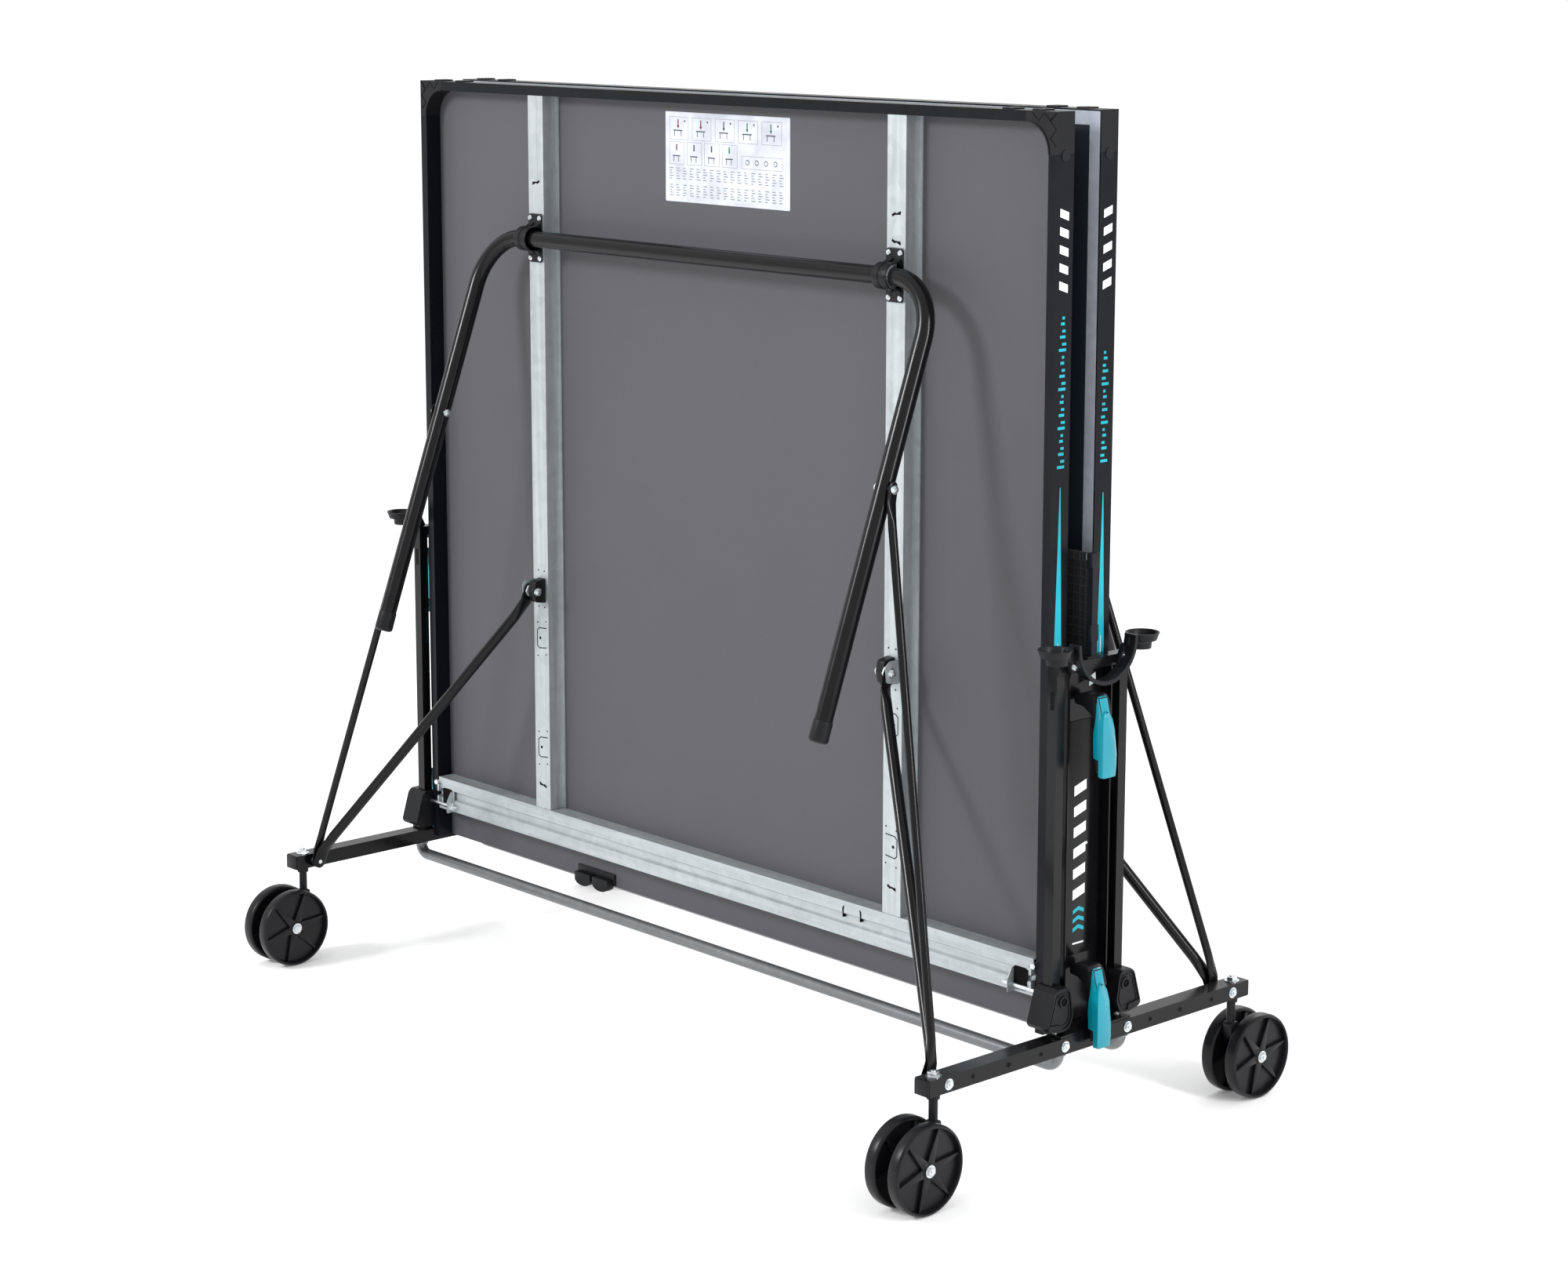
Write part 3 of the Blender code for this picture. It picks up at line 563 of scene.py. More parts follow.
def make_label():
    """Printed film with boxes, arrows and bars only."""
    back = -BOARD[1].y
    film = Build()
    x0, x1, z0, z1 = -0.132, 0.168, 1.378, 1.523
    film.prism(rounded(rect(x0, x1, z0, z1), 0.002, 3), "y", back - 0.00035, back + 0.0002, PAPER, 0)
    film.place("label_film", "front_half", "board")
    ink = Build()
    top = back - 0.0005
    low = back - 0.0003

    def bar(x, z, w, h, mat):
        ink.box((x0 + x, top, z1 - z), (x0 + x + w, low, z1 - z - h), mat, 0)

    def frame_box(x, z, w, h):
        for args in ((x, z, w, 0.0006), (x, z + h, w, 0.0006), (x, z, 0.0006, h), (x + w, z, 0.0006, h)):
            bar(*args, LIGHT_INK)

    for col in range(5):
        x = 0.010 + col * 0.056
        frame_box(x, 0.008, 0.046, 0.036)
        bar(x + 0.010, 0.029, 0.022, 0.0018, DARK_INK)
        bar(x + 0.012, 0.031, 0.0012, 0.008, DARK_INK)
        bar(x + 0.028, 0.031, 0.0012, 0.008, DARK_INK)
        bar(x + 0.036, 0.013, 0.003, 0.003, DARK_INK)
        tone = (RED_INK, RED_INK, DARK_INK, GREEN_INK, GREEN_INK)[col]
        bar(x + 0.020, 0.012, 0.0026, 0.010, tone)
        ink.prism([(x0 + x + 0.0180, z1 - 0.022), (x0 + x + 0.0246, z1 - 0.022),
                   (x0 + x + 0.0213, z1 - 0.027)], "y", top, low, tone, 0)
    for col in range(4):
        x = 0.010 + col * 0.043
        frame_box(x, 0.048, 0.036, 0.036)
        bar(x + 0.008, 0.070, 0.018, 0.0018, DARK_INK)
        bar(x + 0.010, 0.072, 0.0012, 0.008, DARK_INK)
        bar(x + 0.022, 0.072, 0.0012, 0.008, DARK_INK)
        bar(x + 0.016, 0.052, 0.0030, 0.010, (RED_INK, DARK_INK, DARK_INK, GREEN_INK)[col])
    frame_box(0.186, 0.064, 0.096, 0.020)
    for k in range(4):
        ink.disc((x0 + 0.200 + k * 0.022, top, z1 - 0.074), "y", 0.0045, 0.0, 0.0002, DARK_INK, 20)
        ink.disc((x0 + 0.200 + k * 0.022, top - 0.0001, z1 - 0.074), "y", 0.0032, 0.0, 0.0002, PAPER, 20)
    for row in range(2):
        for col in range(17):
            for k in range(5):
                width = 0.0095 - 0.0022 * ((col + k * 2 + row) % 3)
                bar(0.010 + col * 0.0166, 0.090 + row * 0.027 + k * 0.0042, width, 0.0016, LIGHT_INK)
    ink.place("label_marks", "front_half", "board")


# ---- ribs and rails -----------------------------------------------------------
def rib_trim(tag, sy, hand, sx):
    """Punched marks drawn flat near-black as painted shade, the leg's clamp and the strut's bracket on one
    rib.
    """
    x = (RIB[0].x + RIB[1].x) / 2
    face = FACE
    marks = Build()
    for z in (0.605, 0.410):
        path = [(x - 0.014, z + 0.0180), (x + 0.006, z + 0.0165), (x + 0.0115, z + 0.0120),
                (x + 0.0115, z - 0.0150), (x + 0.006, z - 0.0190), (x - 0.014, z - 0.0165)]
        pts = []
        for k in range(len(path) - 1):
            for j in range(4):
                t = j / 4
                pts.append((path[k][0] * (1 - t) + path[k + 1][0] * t, face + 0.0001,
                            path[k][1] * (1 - t) + path[k + 1][1] * t))
        pts.append((path[-1][0], face + 0.0001, path[-1][1]))
        marks.sweep(pts, [(0.0009, 0.0003)] * len(pts), GAP_SHADE, 8, (0, 0, 1))
        marks.disc((x + 0.003, face, z - 0.001), "y", 0.0026, -0.0005, 0.0003, GAP_SHADE, 16)
        for dx, dz in ((-0.013, 0.030), (0.010, 0.026), (-0.013, -0.029), (0.010, -0.033)):
            marks.disc((x + dx, face, z + dz), "y", 0.0014, -0.0005, 0.0003, GAP_SHADE, 12)
    spots = (1.348, 1.392) if sx > 0 else (1.392,)
    for k, z in enumerate(spots + (0.342,)):
        flip = -1 if k % 2 else 1
        pts = [(x - 0.010, z + flip * 0.002), (x - 0.004, z - flip * 0.0012), (x + 0.001, z),
               (x + 0.007, z - flip * 0.0030), (x + 0.010, z - flip * 0.0035), (x + 0.009, z + flip * 0.002),
               (x + 0.004, z + flip * 0.0022), (x - 0.003, z + flip * 0.0026),
               (x - 0.008, z + flip * 0.0055)]
        marks.prism(pts, "y", face - 0.0005, face + 0.0003, GAP_SHADE, 0)
    marks.place(f"{tag}_rib_punching_{hand}", f"{tag}_half", "zinc", sx, sy)

    clamp = Build()
    centre = Vector((x, LEG_PIN.y, LEG_PIN.z))
    ring = [(14.3, -15.0), (20.6, -15.0), (20.9, -13.5), (20.9, -3.0), (19.6, -1.8), (19.6, 1.8),
            (20.9, 3.0), (20.9, 13.5), (20.6, 15.0), (14.3, 15.0)]
    clamp.turned([(r * MM, o * MM) for r, o in ring], centre, PLASTIC, "x", 48)
    plate = rounded(rect(x - 0.0185, x + 0.0185, centre.z - 0.041, centre.z + 0.041), 0.005)
    clamp.prism(plate, "y", face - 0.001, face + 0.0035, PLASTIC, 0.0007)
    for side in (-1, 1):
        web = [(face + 0.002, centre.z - 0.030), (face + 0.006, centre.z - 0.024),
               (centre.y - 0.003, centre.z - 0.0200), (centre.y - 0.003, centre.z + 0.0200),
               (face + 0.006, centre.z + 0.024), (face + 0.002, centre.z + 0.030)]
        clamp.prism(web, "x", x + side * 0.0150, x + side * 0.0030, PLASTIC, 0.0006)
        for level in (-1, 1):
            spot = (x + side * 0.0125, face + 0.0035, centre.z + level * 0.034)
            clamp.disc(spot, "y", 0.0048, 0.0, 0.0022, BOLT, 24, 0.0012)
            clamp.disc(spot, "y", 0.0019, 0.0022, 0.0028, BOLT, 12, 0.0)
    clamp.place(f"{tag}_leg_clamp_{hand}", f"{tag}_half", "black_plastic", sx, sy)

    ear = Build()
    pin = Vector((x, STRUT_PIN.y, STRUT_PIN.z))
    block = rounded([(face - 0.001, pin.z - 0.022), (pin.y + 0.004, pin.z - 0.018),
                     (pin.y + 0.008, pin.z), (pin.y + 0.004, pin.z + 0.018), (face - 0.001, pin.z + 0.022)],
                    0.004)
    ear.prism(block, "x", x - 0.013, x + 0.0036, PLASTIC, 0.0012)
    shield = rounded([(face + 0.001, pin.z - 0.019), (pin.y + 0.0105, pin.z - 0.015),
                      (pin.y + 0.0120, pin.z + 0.012), (pin.y + 0.004, pin.z + 0.019),
                      (face + 0.001, pin.z + 0.019)], 0.004)
    ear.prism(shield, "x", x + 0.0128, x + 0.0146, ZINC, 0.0004)
    ear.bolt((x + 0.0146, pin.y, pin.z), "x", 1, 0.0062, 0.0080, 0.0052)
    ear.disc((x, pin.y, pin.z), "x", 0.0034, -0.016, 0.0146, BOLT, 16)
    ear.bolt((x - 0.0130, pin.y, pin.z), "x", -1, 0.0058, 0.0075, 0.0050)
    # Bracket holes: flat near-black discs, painted shade.
    for dx, dz in ((-0.010, 0.034), (0.006, 0.034), (-0.010, -0.030), (0.006, -0.030)):
        ear.disc((x + dx, face, pin.z + dz), "y", 0.0015, -0.0005, 0.0003, GAP_SHADE, 12)
    ear.place(f"{tag}_strut_bracket_{hand}", f"{tag}_half", "black_plastic", sx, sy)


def rail_trim(tag, sy, hand, sx):
    """Pivot rod with its nut, end slot with the bent tab, and punched marks; the slot and the marks are flat
    near-black, painted shade.
    """
    b = Build()
    face = RAIL[1].y
    z = PIVOT.z
    end = RAIL[1].x
    slot = rounded(rect(end - 0.040, end - 0.012, z - 0.006, z + 0.030), 0.005)
    b.prism(slot, "y", face - 0.0005, face + 0.0003, GAP_SHADE, 0)
    strip = rounded(rect(end - 0.0455, end - 0.0400, z - 0.011, z + 0.028), 0.001, 2)
    b.prism(strip, "y", face - 0.001, face + 0.0006, RAILZINC, 0.0002)
    tab = rounded([(face - 0.002, z - 0.010), (face + 0.0135, z - 0.012), (face + 0.0135, z + 0.010),
                   (face + 0.004, z + 0.027), (face - 0.002, z + 0.027)], 0.004)
    b.prism(tab, "x", end - 0.0415, end - 0.0398, RAILZINC, 0.0003)
    b.sweep([(end - 0.058, PIVOT.y, z), (EDGE_X - 0.0005, PIVOT.y, z)], 0.0036, BOLT, 20, (0, 0, 1))
    b.bolt((end - 0.0415, PIVOT.y, z), "x", -1, 0.0070, 0.0095, 0.0060)
    for dz in (0.018, 0.040):
        b.box((end - 0.006, face - 0.004, z + dz - 0.018), (end + 0.0005, face + 0.0045, z + dz - 0.004),
              RAILZINC, 0.0006)
    b.disc((end + 0.0025, face - 0.006, RAIL[1].z - 0.010), "y", 0.005, 0.0, 0.012, BOLT, 20, 0.001)
    if sx > 0:
        for k, x in enumerate((0.330, 0.368, 0.500)):
            flip = -1 if k == 0 else 1
            pts = [(x - flip * 0.0016, 0.0115), (x + flip * 0.0016, 0.0100), (x + flip * 0.0030, 0.0035),
                   (x + flip * 0.0022, -0.0040), (x + flip * 0.0022, -0.0120), (x - flip * 0.0008, -0.0120),
                   (x - flip * 0.0002, -0.0030), (x - flip * 0.0004, 0.0030)]
            mid = (RAIL[0].z + RAIL[1].z) / 2
            b.prism([(a, mid + 0.012 + c * 0.8) for a, c in pts], "y", face - 0.0065, face + 0.0003, GAP_SHADE, 0)
    b.place(f"{tag}_rail_fitting_{hand}", f"{tag}_half", "zinc", sx, sy)


# ---- folding leg, struts and links ---------------------------------------------
LEAN = math.radians(20)
LIMB_X = LEG[1].x - 0.0155


def leg_point(x, down):
    return (x, LEG_PIN.y + down * math.sin(LEAN), LEG_PIN.z - down * math.cos(LEAN))


def make_leg(tag, sy):
    """U-shaped tube with feet and the link bolts."""
    length = (LEG_PIN.z - LEG[0].z) / math.cos(LEAN) - 0.0052
    bend = 0.09
    half = []
    for k in range(17):
        ang = math.radians(90 * k / 16)
        half.append((LIMB_X - bend + bend * math.sin(ang), bend * (1 - math.cos(ang))))
    half.append((LIMB_X, length * 0.5))
    half.append((LIMB_X, length - 0.028))
    path = [leg_point(-x, d) for x, d in half[::-1]] + [leg_point(x, d) for x, d in half]
    b = Build()
    b.sweep(path, 0.014, GLOSS, 32, (0, 1, 0))
    for sx in (-1, 1):
        steps = [(0.034, 0.0139), (0.033, 0.0150), (0.006, 0.0154), (0.003, 0.0146), (0.0008, 0.0120),
                 (0.0, 0.0080)]
        b.sweep([leg_point(sx * LIMB_X, length - s) for s, _ in steps], [(r, r) for _, r in steps],
                PLASTIC, 32, (0, 1, 0))
        drop = (LEG_PIN.z - LINK_PIN.z) / math.cos(LEAN)
        at = Vector(leg_point(sx * LIMB_X, drop))
        b.disc(at, "x", 0.0030, sx * -0.018, sx * 0.0235, BOLT, 16)
        b.bolt(at + Vector((sx * -0.0135, 0, 0)), "x", -sx, 0.0052, 0.0068, 0.0050)
        b.bolt(at + Vector((sx * 0.0212, 0, 0)), "x", sx, 0.0055, 0.0072, 0.0050)
        b.disc(at, "x", 0.0062, sx * 0.012, sx * 0.0152, PLASTIC, 24)
    b.place(f"{tag}_leg_tube", f"{tag}_leg", "black_steel", 1, sy, (f"{tag}_folding_leg",))


def make_bar(tag, sy, hand, sx, kind, foot, top, radius, body):
    """Round tube with both ends pressed flat and rounded off."""
    foot, top = Vector(foot), Vector(top)
    line = (top - foot)
    flat = Vector((0, line.y, line.z)).normalized()
    knee0, knee1 = foot + flat * 0.026, top - flat * 0.026
    along = (knee1 - knee0).normalized()
    wide = radius + 0.003

    def opened(t):
        """Section from pressed flat (0) to round (1)."""
        ease = t * t * (3 - 2 * t)
        return (TAPER_FROM + (radius - TAPER_FROM) * ease, wide + (radius - wide) * ease)

    tip = ((-0.0118, 0.25), (-0.0108, 0.55), (-0.0080, 0.82), (-0.0035, 1.0), (0.011, 1.0))
    steps = (0.0, 0.25, 0.5, 0.75, 1.0)
    rows = [(foot + flat * s, (PRESSED, wide * w)) for s, w in tip]
    rows += [((knee0 - flat * 0.006).lerp(knee0 + along * 0.030, t), opened(t)) for t in steps]
    rows.append((knee0.lerp(knee1, 0.5), (radius, radius)))
    rows += [((knee1 + flat * 0.006).lerp(knee1 - along * 0.030, t), opened(t)) for t in steps[::-1]]
    rows += [(top + flat * -s, (PRESSED, wide * w)) for s, w in tip[::-1]]
    b = Build()
    b.sweep([r[0] for r in rows], [r[1] for r in rows], GLOSS, 24, (1, 0, 0))
    node = f"{tag}_{kind}_{hand}"
    b.place(f"{node}_tube", body, "black_steel", sx, sy, (node,))


# ---- wheels and casters ----------------------------------------------------------
def make_wheel(tag, sy, hand, sx, side):
    """Moulded wheel: tyre, web and six tapered spokes on each face."""
    node = f"wheel_{side}_{tag}_{hand}"
    low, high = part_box(node)
    centre = (low + high) / 2
    rad = AXLE.z
    half = (high.x - low.x) / 2
    b = Build()
    edge = rad / MM
    prof = [(4.5, -9.0), (11.5, -9.0), (12.6, -8.2), (13.4, -2.6), (edge - 7.4, -2.2), (edge - 6.2, -9.2),
            (edge - 5.2, -half / MM), (edge - 2.6, -half / MM + 0.4), (edge - 0.7, -half / MM + 2.4),
            (edge, -5.8), (edge, 5.8), (edge - 0.7, half / MM - 2.4), (edge - 2.6, half / MM - 0.4),
            (edge - 5.2, half / MM), (edge - 6.2, 9.2), (edge - 7.4, 2.2), (13.4, 2.6), (12.6, 8.2),
            (11.5, 9.0), (4.5, 9.0)]
    b.turned([(r * MM, o * MM) for r, o in prof], centre, TYRE, "x", 72)
    tip = rad - 0.0066
    for face in (-1, 1):
        for k in range(6):
            ang = math.radians(60 * k + 12)
            u, w = Vector((math.cos(ang), math.sin(ang))), Vector((-math.sin(ang), math.cos(ang)))
            pts = [u * 0.0112 + w * 0.0072, u * tip + w * 0.0012, u * tip - w * 0.0012,
                   u * 0.0112 - w * 0.0072]
            b.prism([(centre.y + p.x, centre.z + p.y) for p in pts], "x",
                    centre.x + face * 0.0018, centre.x + face * 0.0082, TYRE, 0.0008)
    b.place(f"{node}_moulding", node, "tyre", 1, 1, (node,))


def make_fork(tag, sy, hand, sx):
    """Caster arm with its stem, axle and axle bolts."""
    node = f"caster_fork_{tag}_{hand}"
    x, d = STEM.x, STEM.y
    b = Build()
    stem = [(6.9, 104.0), (6.9, 158.0), (9.6, 159.2), (10.0, 162.0), (9.8, 167.6), (0.5, 167.6),
            (0.5, 104.0)]
    b.turned([(r * MM, z * MM) for r, z in stem], (x, d, 0), PLASTIC, "z", 32)
    ay, az = AXLE.y, AXLE.z
    arm = rounded([(d - 0.010, 0.127), (d + 0.010, 0.127), (d + 0.015, 0.104), (ay + 0.0125, az + 0.010),
                   (ay + 0.0125, az - 0.008), (ay + 0.005, az - 0.0125), (ay - 0.006, az - 0.0125),
                   (ay - 0.0125, az - 0.004), (ay - 0.013, az + 0.014), (d - 0.006, 0.100)], 0.006)
    b.prism(arm, "x", x - 0.0085, x + 0.0085, PLASTIC, 0.0016)
    lid = shrunk(arm, 0.72)
    for face in (-1, 1):
        b.prism(lid, "x", x + face * 0.008, x + face * 0.0095, PLASTIC, 0.0006)
    b.disc((x, ay, az), "x", 0.0105, -0.0125, 0.0125, PLASTIC, 32)
    b.disc((x, ay, az), "x", 0.0040, -0.035, 0.035, BOLT, 20)
    for face in (-1, 1):
        b.bolt((x + face * 0.0333, ay, az), "x", face, 0.0068, 0.0095, 0.0052)
    b.place(f"{node}_moulding", f"caster_{tag}_{hand}", "black_plastic", sx, sy, (node,))


# ---- chassis ---------------------------------------------------------------------
def beam_trim(tag, sy, hand, sx):
    """End plug, bolts and punched holes of half a base beam; the holes are flat near-black discs, painted
    shade.
    """
    b = Build()
    x0, x1 = BEAM[0].x, BEAM[1].x
    z0, z1 = BEAM[0].z, BEAM[1].z
    end = BEAM[1].y
    mid = (z0 + z1) / 2
    b.box((x0 + 0.0004, end - 0.0015, z0 + 0.0004), (x1 - 0.0004, end + 0.0028, z1 - 0.0004), PLASTIC,
          0.0016)
    b.bolt((x1, FOOT_Y, mid), "x", 1)
    b.bolt((x1, 0.069, mid), "x", 1)
    for d, rad in ((0.190, 0.0040), (0.264, 0.0034), (0.121, 0.0034)):
        b.turned([(rad + 0.0008, -0.0004), (rad + 0.0008, 0.0003), (rad, 0.0003), (rad, -0.0004)],
                 (x1, d, mid), GLOSS, "x", 24)
        b.disc((x1, d, mid), "x", rad, -0.0006, 0.0002, GAP_SHADE, 24)
    b.bolt((STEM.x, STEM.y, z1), "z", 1, 0.0088, 0.0118, 0.0075)
    b.bolt((x0, FOOT_Y, mid), "x", -1, 0.0062, 0.0080, 0.0042)
    b.disc((x0 - 0.0005, FOOT_Y, mid), "x", 0.0036, -0.017, 0.0, BOLT, 18)
    b.place(f"beam_fittings_{tag}_{hand}", "chassis", "black_steel", sx, sy)


def upright_trim(hand, sx):
    """Recessed panel, bars, slots and bolts of one upright."""
    b = Build()
    back = EDGE_X + 0.0065
    b.box((back + 0.0004, -0.0405, 0.300), (back + 0.0016, 0.0405, 0.660), GLOSS, 0.0004)
    for k in range(6):
        z = 0.385 + k * 0.032
        b.prism([(-0.013, z), (0.013, z + 0.008), (0.013, z + 0.023), (-0.013, z + 0.015)], "x",
                back + 0.0015, back + 0.0018, WHITE_INK, 0)
    for k in range(3):
        z = 0.335 + k * 0.014
        b.prism([(-0.012, z), (0.0, z + 0.005), (0.012, z), (0.012, z + 0.006), (0.0, z + 0.011),
                 (-0.012, z + 0.006)], "x", back + 0.0015, back + 0.0018, TEAL_INK, 0)
    b.box((back + 0.0015, -0.012, 0.316), (back + 0.0018, 0.012, 0.3185), WHITE_INK, 0)
    low, high = POST
    for sy in (-1, 1):
        out = sy * high.y
        mid = EDGE_X + 0.0195
        # Slot: a flat near-black prism, painted shade.
        slot = rounded(rect(mid - 0.0035, mid + 0.0035, 0.688, 0.716), 0.0015, 3)
        b.prism(slot, "y", out - sy * 0.0006, out + sy * 0.0003, GAP_SHADE, 0)
        # a leftover speck 0.2 mm across, too small to see
        b.bolt((EDGE_X + 0.0285, sy * 0.0685, 0.222 if sy < 0 else 0.216), "x", 1, 0.0001, 0.0001, 0.0001)
        b.bolt((low.x + 0.022, sy * 0.069, low.z + 0.0035), "z", 1, 0.0055, 0.0075, 0.0045)
    b.disc((back + 0.0018, 0.014, 0.470), "x", 0.0022, 0.0, 0.0010, BOLT, 14, 0.0)
    for sy, z in ((-1, 0.735), (1, 0.712)):
        b.prism([(sy * 0.004, z), (sy * 0.020, z + 0.004), (sy * 0.018, z + 0.020), (sy * 0.005, z + 0.014)],
                "x", EDGE_X + 0.016, EDGE_X + 0.0175, ZINC, 0.0003)
    b.place(f"upright_panel_{hand}", "chassis", "black_steel", sx, 1)


def shoe_cover(tag, sy, hand, sx):
    """Outer face of the shoe: raised rim, pivot eye and lower lip."""
    y, z = PIVOT.y, PIVOT.z
    out = SHOE[1].x
    pts = [(-8, 18), (12, 18), (19, 12), (34, -38), (30, -44), (6, -49), (-12, -47), (-21, -28), (-14, 12)]
    line = rounded([(y + a * MM, z + c * MM) for a, c in pts], 0.008, 5)
    b = Build()
    b.band(line, shrunk(line, 0.90), "x", out - 0.001, out + 0.0022, PLASTIC)
    b.band(shrunk(line, 0.76), shrunk(line, 0.71), "x", out - 0.001, out + 0.0012, PLASTIC)
    eye = Vector((out, y, z - 0.003))
    b.turned([(5.6 * MM, -0.5 * MM), (9.6 * MM, -0.5 * MM), (9.2 * MM, 2.6 * MM), (6.2 * MM, 2.6 * MM)], eye,
             PLASTIC, "x", 36)
    # Hole of the eye: two flat near-black discs, painted shade.
    b.disc(eye, "x", 0.0058, -0.0005, 0.0006, GAP_SHADE, 28)
    b.disc(eye, "x", 0.0030, 0.0005, 0.0018, GAP_SHADE, 20)
    b.prism(rounded([(y + 0.004, z - 0.045), (y + 0.030, z - 0.040), (y + 0.033, z - 0.034),
                     (y + 0.006, z - 0.037)], 0.002), "x", out - 0.004, out + 0.003, PLASTIC, 0.0006)
    b.place(f"{tag}_shoe_face_{hand}", f"{tag}_slider", "black_plastic", sx, sy)


def make_grip(level, hand, sx):
    """Teal leaf on a hooked black lever."""
    pin = GRIPS[level]
    b = Build()
    hook = rounded([(-0.007, -0.008), (-0.007, 0.006), (0.006, 0.0085), (0.026, 0.0095), (0.034, 0.003),
                    (0.041, -0.020), (0.034, -0.030), (0.026, -0.020), (0.010, -0.010)], 0.004)
    b.prism([(pin.x + a, pin.z + c) for a, c in hook], "y", -0.0235, 0.0065, PLASTIC, 0.0010)
    cheek = rounded([(0.024, -0.010), (0.036, -0.014), (0.0400, -0.100), (0.034, -0.108), (0.029, -0.060)],
                    0.003)
    b.prism([(pin.x + a, pin.z + c) for a, c in cheek], "y", -0.0195, 0.0025, PLASTIC, 0.0010)
    blade = [(38.0, 9.5), (42.0, 7.0), (45.5, -7.0), (48.0, -16.0), (48.0, -111.5), (42.5, -111.5),
             (42.0, -87.0), (32.5, -85.0), (31.0, -58.0), (31.5, -46.0), (35.5, -22.0), (36.5, -4.0)]
    b.prism([(pin.x + a * MM, pin.z + c * MM) for a, c in blade], "y", -0.0245, -0.0060, TEAL, 0.0009)
    shell = [(-12.5, -19.0, -16.0, 3.0), (-17.0, -24.0, -7.0, 12.0), (-25.0, -24.6, -1.0, 15.5),
             (-42.0, -24.8, 4.5, 13.0), (-60.0, -24.8, 7.0, 9.0), (-79.0, -24.8, 7.8, 6.2),
             (-98.0, -24.8, 6.6, 5.0), (-110.5, -24.6, 5.0, 4.2), (-111.8, -23.6, 4.0, 3.6)]
    rings = []
    for z, left, far, slope in shell:
        out = 53.4 if -110 > z or z > -15 else 53.8
        sect = [(44.0, left), (out - 1.6, left), (out, left + 2.4), (out, far - slope),
                (out - slope * 0.42, far - slope * 0.25), (48.0, far), (44.0, far)]
        rings.append([b.bm.verts.new((pin.x + x * MM, y * MM, pin.z + z * MM)) for x, y in sect])
    b.rings(rings, TEAL, smooth=False)
    b.place(f"release_lever_{level}_{hand}", f"grip_{level}_{hand}", "teal_plastic", sx, 1,
            (f"release_grip_{level}_{hand}",))


def make_holder(hand, sx):
    """Cradle band with a ledge between two flared cups."""
    face = BEAM[0].x + 0.018
    cz = HOLDER[0].z + 0.064
    b = Build()
    sect = [(face, 61.6), (face, 58.0), (face + 0.0215, 58.0), (face + 0.022, 58.6), (face + 0.022, 64.0),
            (face + 0.0188, 64.0), (face + 0.0182, 61.6)]
    rings = []
    for k in range(41):
        ang = math.radians(177 + 186 * k / 40)
        rings.append([b.bm.verts.new((x, r * MM * math.cos(ang), cz + r * MM * math.sin(ang)))
                      for x, r in sect])
    b.rings(rings, PLASTIC)
    for k in (12, 20, 28):
        ang = math.radians(177 + 186 * k / 40)
        c, s = math.cos(ang), math.sin(ang)
        t = Vector((-s, c)) * 0.0012
        quad = [Vector((r * c, r * s)) + t * e for r, e in ((0.0612, 1), (0.0638, 1), (0.0638, -1),
                                                            (0.0612, -1))]
        b.prism([(p.x, cz + p.y) for p in quad], "x", face + 0.001, face + 0.019, PLASTIC, 0)
    cup_y = HOLDER[1].y - 0.026
    for sy in (-1, 1):
        spot = Vector((face + 0.003, sy * cup_y, cz - 0.012))
        cup = [(19.5, 0.0), (21.6, 0.0), (22.8, 3.0), (24.2, 7.5), (26.0, 11.0), (25.8, 12.0),
               (24.0, 12.0), (22.9, 11.0), (21.6, 7.0), (20.2, 3.0)]
        b.turned([(r * MM, z * MM) for r, z in cup], spot, PLASTIC, "z", 48)
        low = Vector((face + 0.003, sy * (cup_y - 0.004), cz - 0.0235))
        b.turned([(13.6 * MM, 0.0), (16.4 * MM, 0.0), (17.4 * MM, 10.0 * MM), (15.0 * MM, 10.0 * MM)], low,
                 PLASTIC, "z", 36)
        near, far = sy * 0.0545, sy * (cup_y - 0.0195)
        arm = rounded([(near, cz - 0.014), (sy * 0.0640, cz - 0.026), (far, cz - 0.019), (far, cz - 0.002),
                       (sy * 0.0640, cz + 0.0005), (sy * 0.0575, cz + 0.0005)], 0.002)
        b.prism(arm, "x", face + 0.0003, face + 0.011, PLASTIC, 0.0008)
        lug = rounded([(sy * 0.041, cz - 0.041), (sy * 0.060, cz - 0.041), (sy * 0.066, cz - 0.014),
                       (sy * 0.056, cz - 0.012)], 0.003)
        b.prism(lug, "x", face - 0.0046, face + 0.0045, PLASTIC, 0.0008)
        b.bolt((face + 0.0045, sy * 0.0545, cz - 0.031), "x", 1, 0.0052, 0.0070, 0.0040)
    b.place(f"holder_moulding_{hand}", "chassis", "black_plastic", sx, 1, (f"ball_holder_{hand}",))


def make_tie(tag, sy):
    """Tube between the two base beams, with a bend and a washer at each end."""
    bend = 0.020
    top = TUBE[1].z
    low = TUBE[0].z + 0.010
    reach = TUBE[1].x - 0.010
    path = [(-reach, top), (-reach, low + bend)]
    for k in range(1, 13):
        ang = math.radians(90 * k / 12)
        path.append((-reach + bend * (1 - math.cos(ang)), low + bend * (1 - math.sin(ang))))
    path += [(-a, c) for a, c in path[::-1]]
    y = (TUBE[0].y + TUBE[1].y) / 2
    b = Build()
    b.sweep([(a, y, c) for a, c in path], 0.010, TUBEZINC, 28, (0, 1, 0))
    for sx in (-1, 1):
        b.disc((sx * reach, y, top - 0.0035), "z", 0.0125, 0.0, 0.0030, TUBEZINC, 28)
    b.place(f"tie_rod_{tag}", "chassis", "grey_tube", 1, sy, (f"tie_tube_{tag}",))


